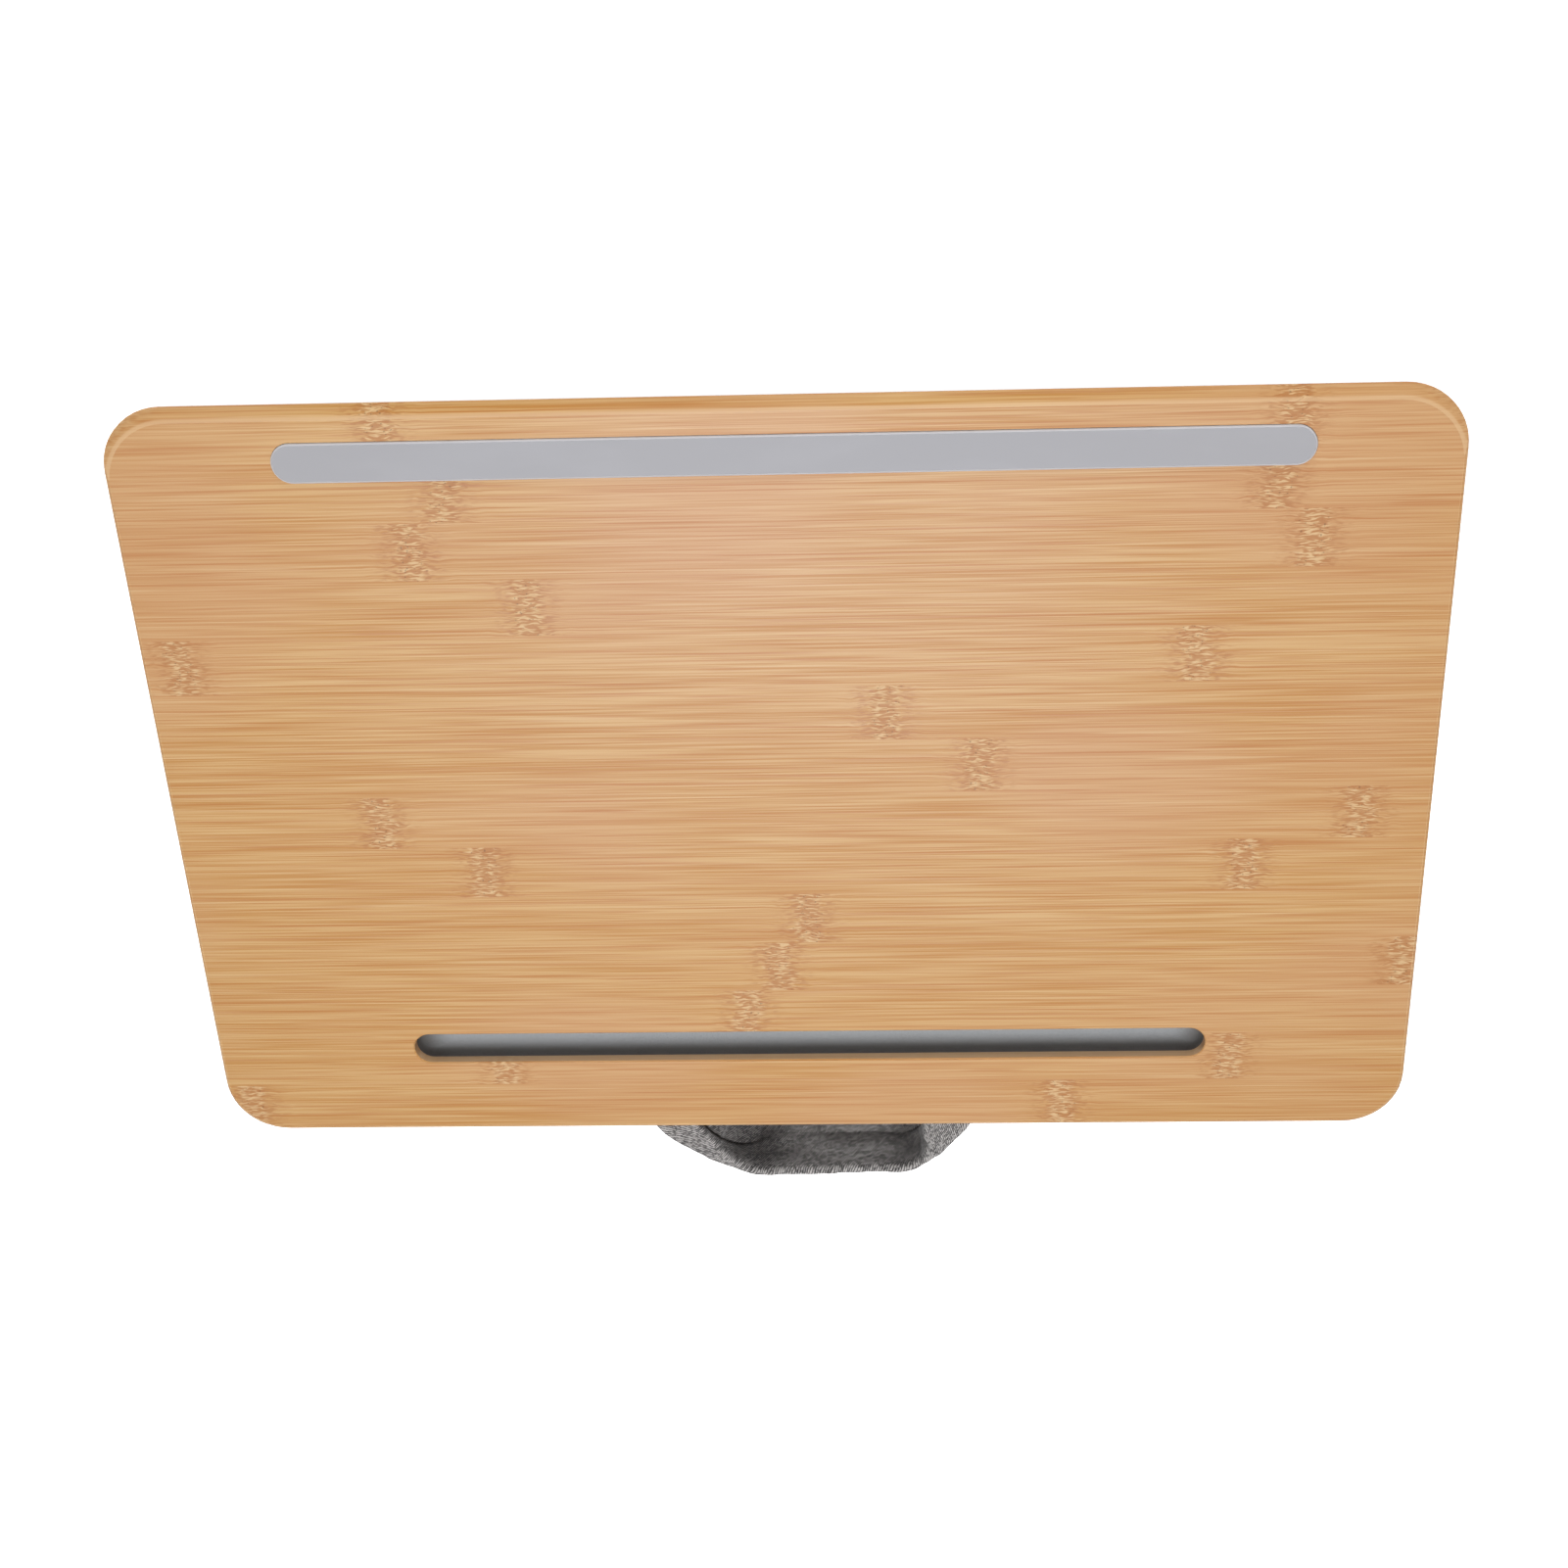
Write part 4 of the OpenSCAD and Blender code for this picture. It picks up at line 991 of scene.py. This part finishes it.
def folded(w, flat, hang, turn):
    """How far inward and how high the strap's cloth lies at the width w from its rim, with sharp folds."""
    down, on = max(0, min(w - flat, hang)), max(0, w - flat - hang)
    steep, slack = math.radians(HANG_TURN * turn), math.radians(LIP_TURN * turn)
    return Vector((min(w, flat) + down * math.cos(steep) + on * math.cos(slack),
                   -down * math.sin(steep) - on * math.sin(slack)))


def creased(w, flat, hang, turn):
    """The same with each fold rounded over its own radius."""
    radius = CREASE_R if abs(w - flat) < abs(w - flat - hang) else LIP_CREASE_R
    shares = (-1, -0.5, 0, 0.5, 1)
    places = (folded(w + radius * share, flat, hang, turn) for share in shares)
    return sum(places, Vector((0, 0))) / len(shares)


def spread(start, end, count):
    """Even steps from the start on, the end left out."""
    return [start + (end - start) * i / count for i in range(count)]


def widths_across(flat, hang):
    """Widths from the rim at which the strap's section has a point, close together at its folds and edges."""
    first, second = flat, flat + hang
    return (spread(0, STRAP_EDGE, 3) + spread(STRAP_EDGE, first - CREASE_R, 7)
            + spread(first - CREASE_R, first + CREASE_R, 6)
            + spread(first + CREASE_R, second - LIP_CREASE_R, 14)
            + spread(second - LIP_CREASE_R, second + LIP_CREASE_R, 5)
            + spread(second + LIP_CREASE_R, STRAP_W - STRAP_EDGE, 4)
            + spread(STRAP_W - STRAP_EDGE, STRAP_W, 3) + [STRAP_W])


def thickness_at(w):
    """The share of the strap's thickness at the width w: round at both edges."""
    edge = min(w, STRAP_W - w) / STRAP_EDGE
    round_off = math.sqrt(max(0, 1 - (1 - min(edge, 1)) ** 2))
    return STRAP_EDGE_LEAST + (1 - STRAP_EDGE_LEAST) * round_off


def strap_ring(t):
    """The points round the strap at t, with the place of each on the cloth."""
    s = 1 - abs(t)
    side = math.copysign(1, t)
    rim = rim_point(t)
    ahead = (rim_point(min(t + AHEAD_STEP, 1)) - rim_point(max(t - AHEAD_STEP, -1))).normalized()
    square_end = min(1, s * 6)
    inward = ahead.cross(Vector((0, 0, 1))).normalized() * square_end
    inward -= Vector((side, 0, 0)) * (1 - square_end)
    inward.normalize()
    turn = along_table(FOLD, s)
    flat = STRAP_W * max(along_table(FLAT_RIGHT if side > 0 else FLAT_LEFT, s), FLAT_LEAST)
    hang_share = along_table(HANG_RIGHT if side > 0 else HANG_LEFT, s)
    hang = (STRAP_W - flat) * max(hang_share, HANG_LEAST)
    half_t = (STRAP_END_T + (STRAP_T - STRAP_END_T) * along_table(PAD, s)) / 2
    loose = min(1, s * 3)
    upper, lower = [], []
    for w in widths_across(flat, hang):
        middle = creased(w, flat, hang, turn)
        along = creased(w + ALONG_STEP, flat, hang, turn) - creased(w - ALONG_STEP, flat, hang, turn)
        along.normalize()
        away = Vector((-along.y, along.x))
        down = max(0, w - flat) / hang
        wave = noise.noise(Vector((t * 5.5, w / MM / 9, 2.0))) * CLOTH_WAVE
        ripple = noise.noise(Vector((t * 16, w / MM / 14, 7.0))) * CLOTH_RIPPLE
        middle += away * ((wave + ripple) * loose * min(1, down * 1.5))
        from_pinch = w - flat - hang * (0.9 - 0.14 * t)
        pinch = PINCH_DEPTH * loose * math.exp(-(from_pinch / PINCH_HALF) ** 2)
        thick = half_t * thickness_at(w)
        for skin, lift in ((upper, thick - pinch), (lower, -thick)):
            offset = middle + away * lift
            spot = HINGE + rim + inward * offset.x + Vector((0, 0, offset.y))
            skin.append((spot, math.copysign(w + thick, lift)))
    return upper + lower[::-1]


END_BACKS = (1.0, 0.985, 0.8, 0.6, 0.4, 0.2)
END_THICKS = (0.3, 1.0, 1.0, 1.0, 1.0, 1.0)
END_SPARE = 1.5 * MM


def sewn_rings(root, side):
    """Rings of a sewn end, laid flat on the panel behind the turning line, from its tip on."""
    rings = []
    for back, thick in zip(END_BACKS, END_THICKS):
        shift = Vector((0, -back * (ANCHOR_L + END_SPARE), 0))
        rings.append([(Vector((p.x, p.y, HINGE.z + (p.z - HINGE.z) * thick)) + shift, w) for p, w in root])
    return rings if side < 0 else rings[::-1]


strap_rings = [strap_ring(i / HALF_STEPS) for i in range(-HALF_STEPS, HALF_STEPS + 1)]
rings = sewn_rings(strap_rings[0], -1) + strap_rings + sewn_rings(strap_rings[-1], 1)
ring_size = len(rings[0])
strap_mesh = bpy.data.meshes.new("handle_strap")
strap_points = [tuple(p) for ring in rings for p, w in ring]
strap_mesh.from_pydata(strap_points, [], tube_faces(0, len(rings), ring_size))
strap_mesh.shade_smooth()
run, cloth_places = 0.0, []
for before, ring in zip([rings[0]] + rings, rings):
    run += (ring[ring_size // 4][0] - before[ring_size // 4][0]).length
    cloth_places += [(run, w) for p, w in ring]
map_cloth(strap_mesh, cloth_places)
strap = bpy.data.objects.new("handle_strap", strap_mesh)
scene.collection.objects.link(strap)
strap_cloth = melange_material(
    "melange_strap_cloth", rib_pitch=1.15, slant=0.75, contrast=1.6, shade_reach=70 * MM, middle_share=0.3)
paint(strap, strap_cloth)
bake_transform(strap)
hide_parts("handle_cover", "handle_webbing", "handle_anchors")

# Handle stitching: each sewn end of the strap is held down on the panel by a small box of stitches in the
# same grey thread.
BOX_INSET = 2.2 * MM
BOX_CORNER_R = 0.3 * MM
BOX_BACK = 1 * MM
for side, side_name in ((-1, "left"), (1, "right")):
    half_x = STRAP_W / 2 - BOX_INSET
    half_y = ANCHOR_L / 2 - BOX_INSET
    middle = HINGE + Vector((side * STRAP_SPAN / 2, -ANCHOR_L / 2 - BOX_BACK, STRAP_END_T / 2))
    box_outline = arc_outline(half_x, half_y, BOX_CORNER_R, middle)
    box_places = [(Vector((point.x, point.y, middle.z)), direction, Vector((0, 0, 1)))
                  for point, direction in outline_walk(box_outline, STITCH_PITCH)]
    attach(stitch_row("handle_stitches_" + side_name, box_places), "desk")
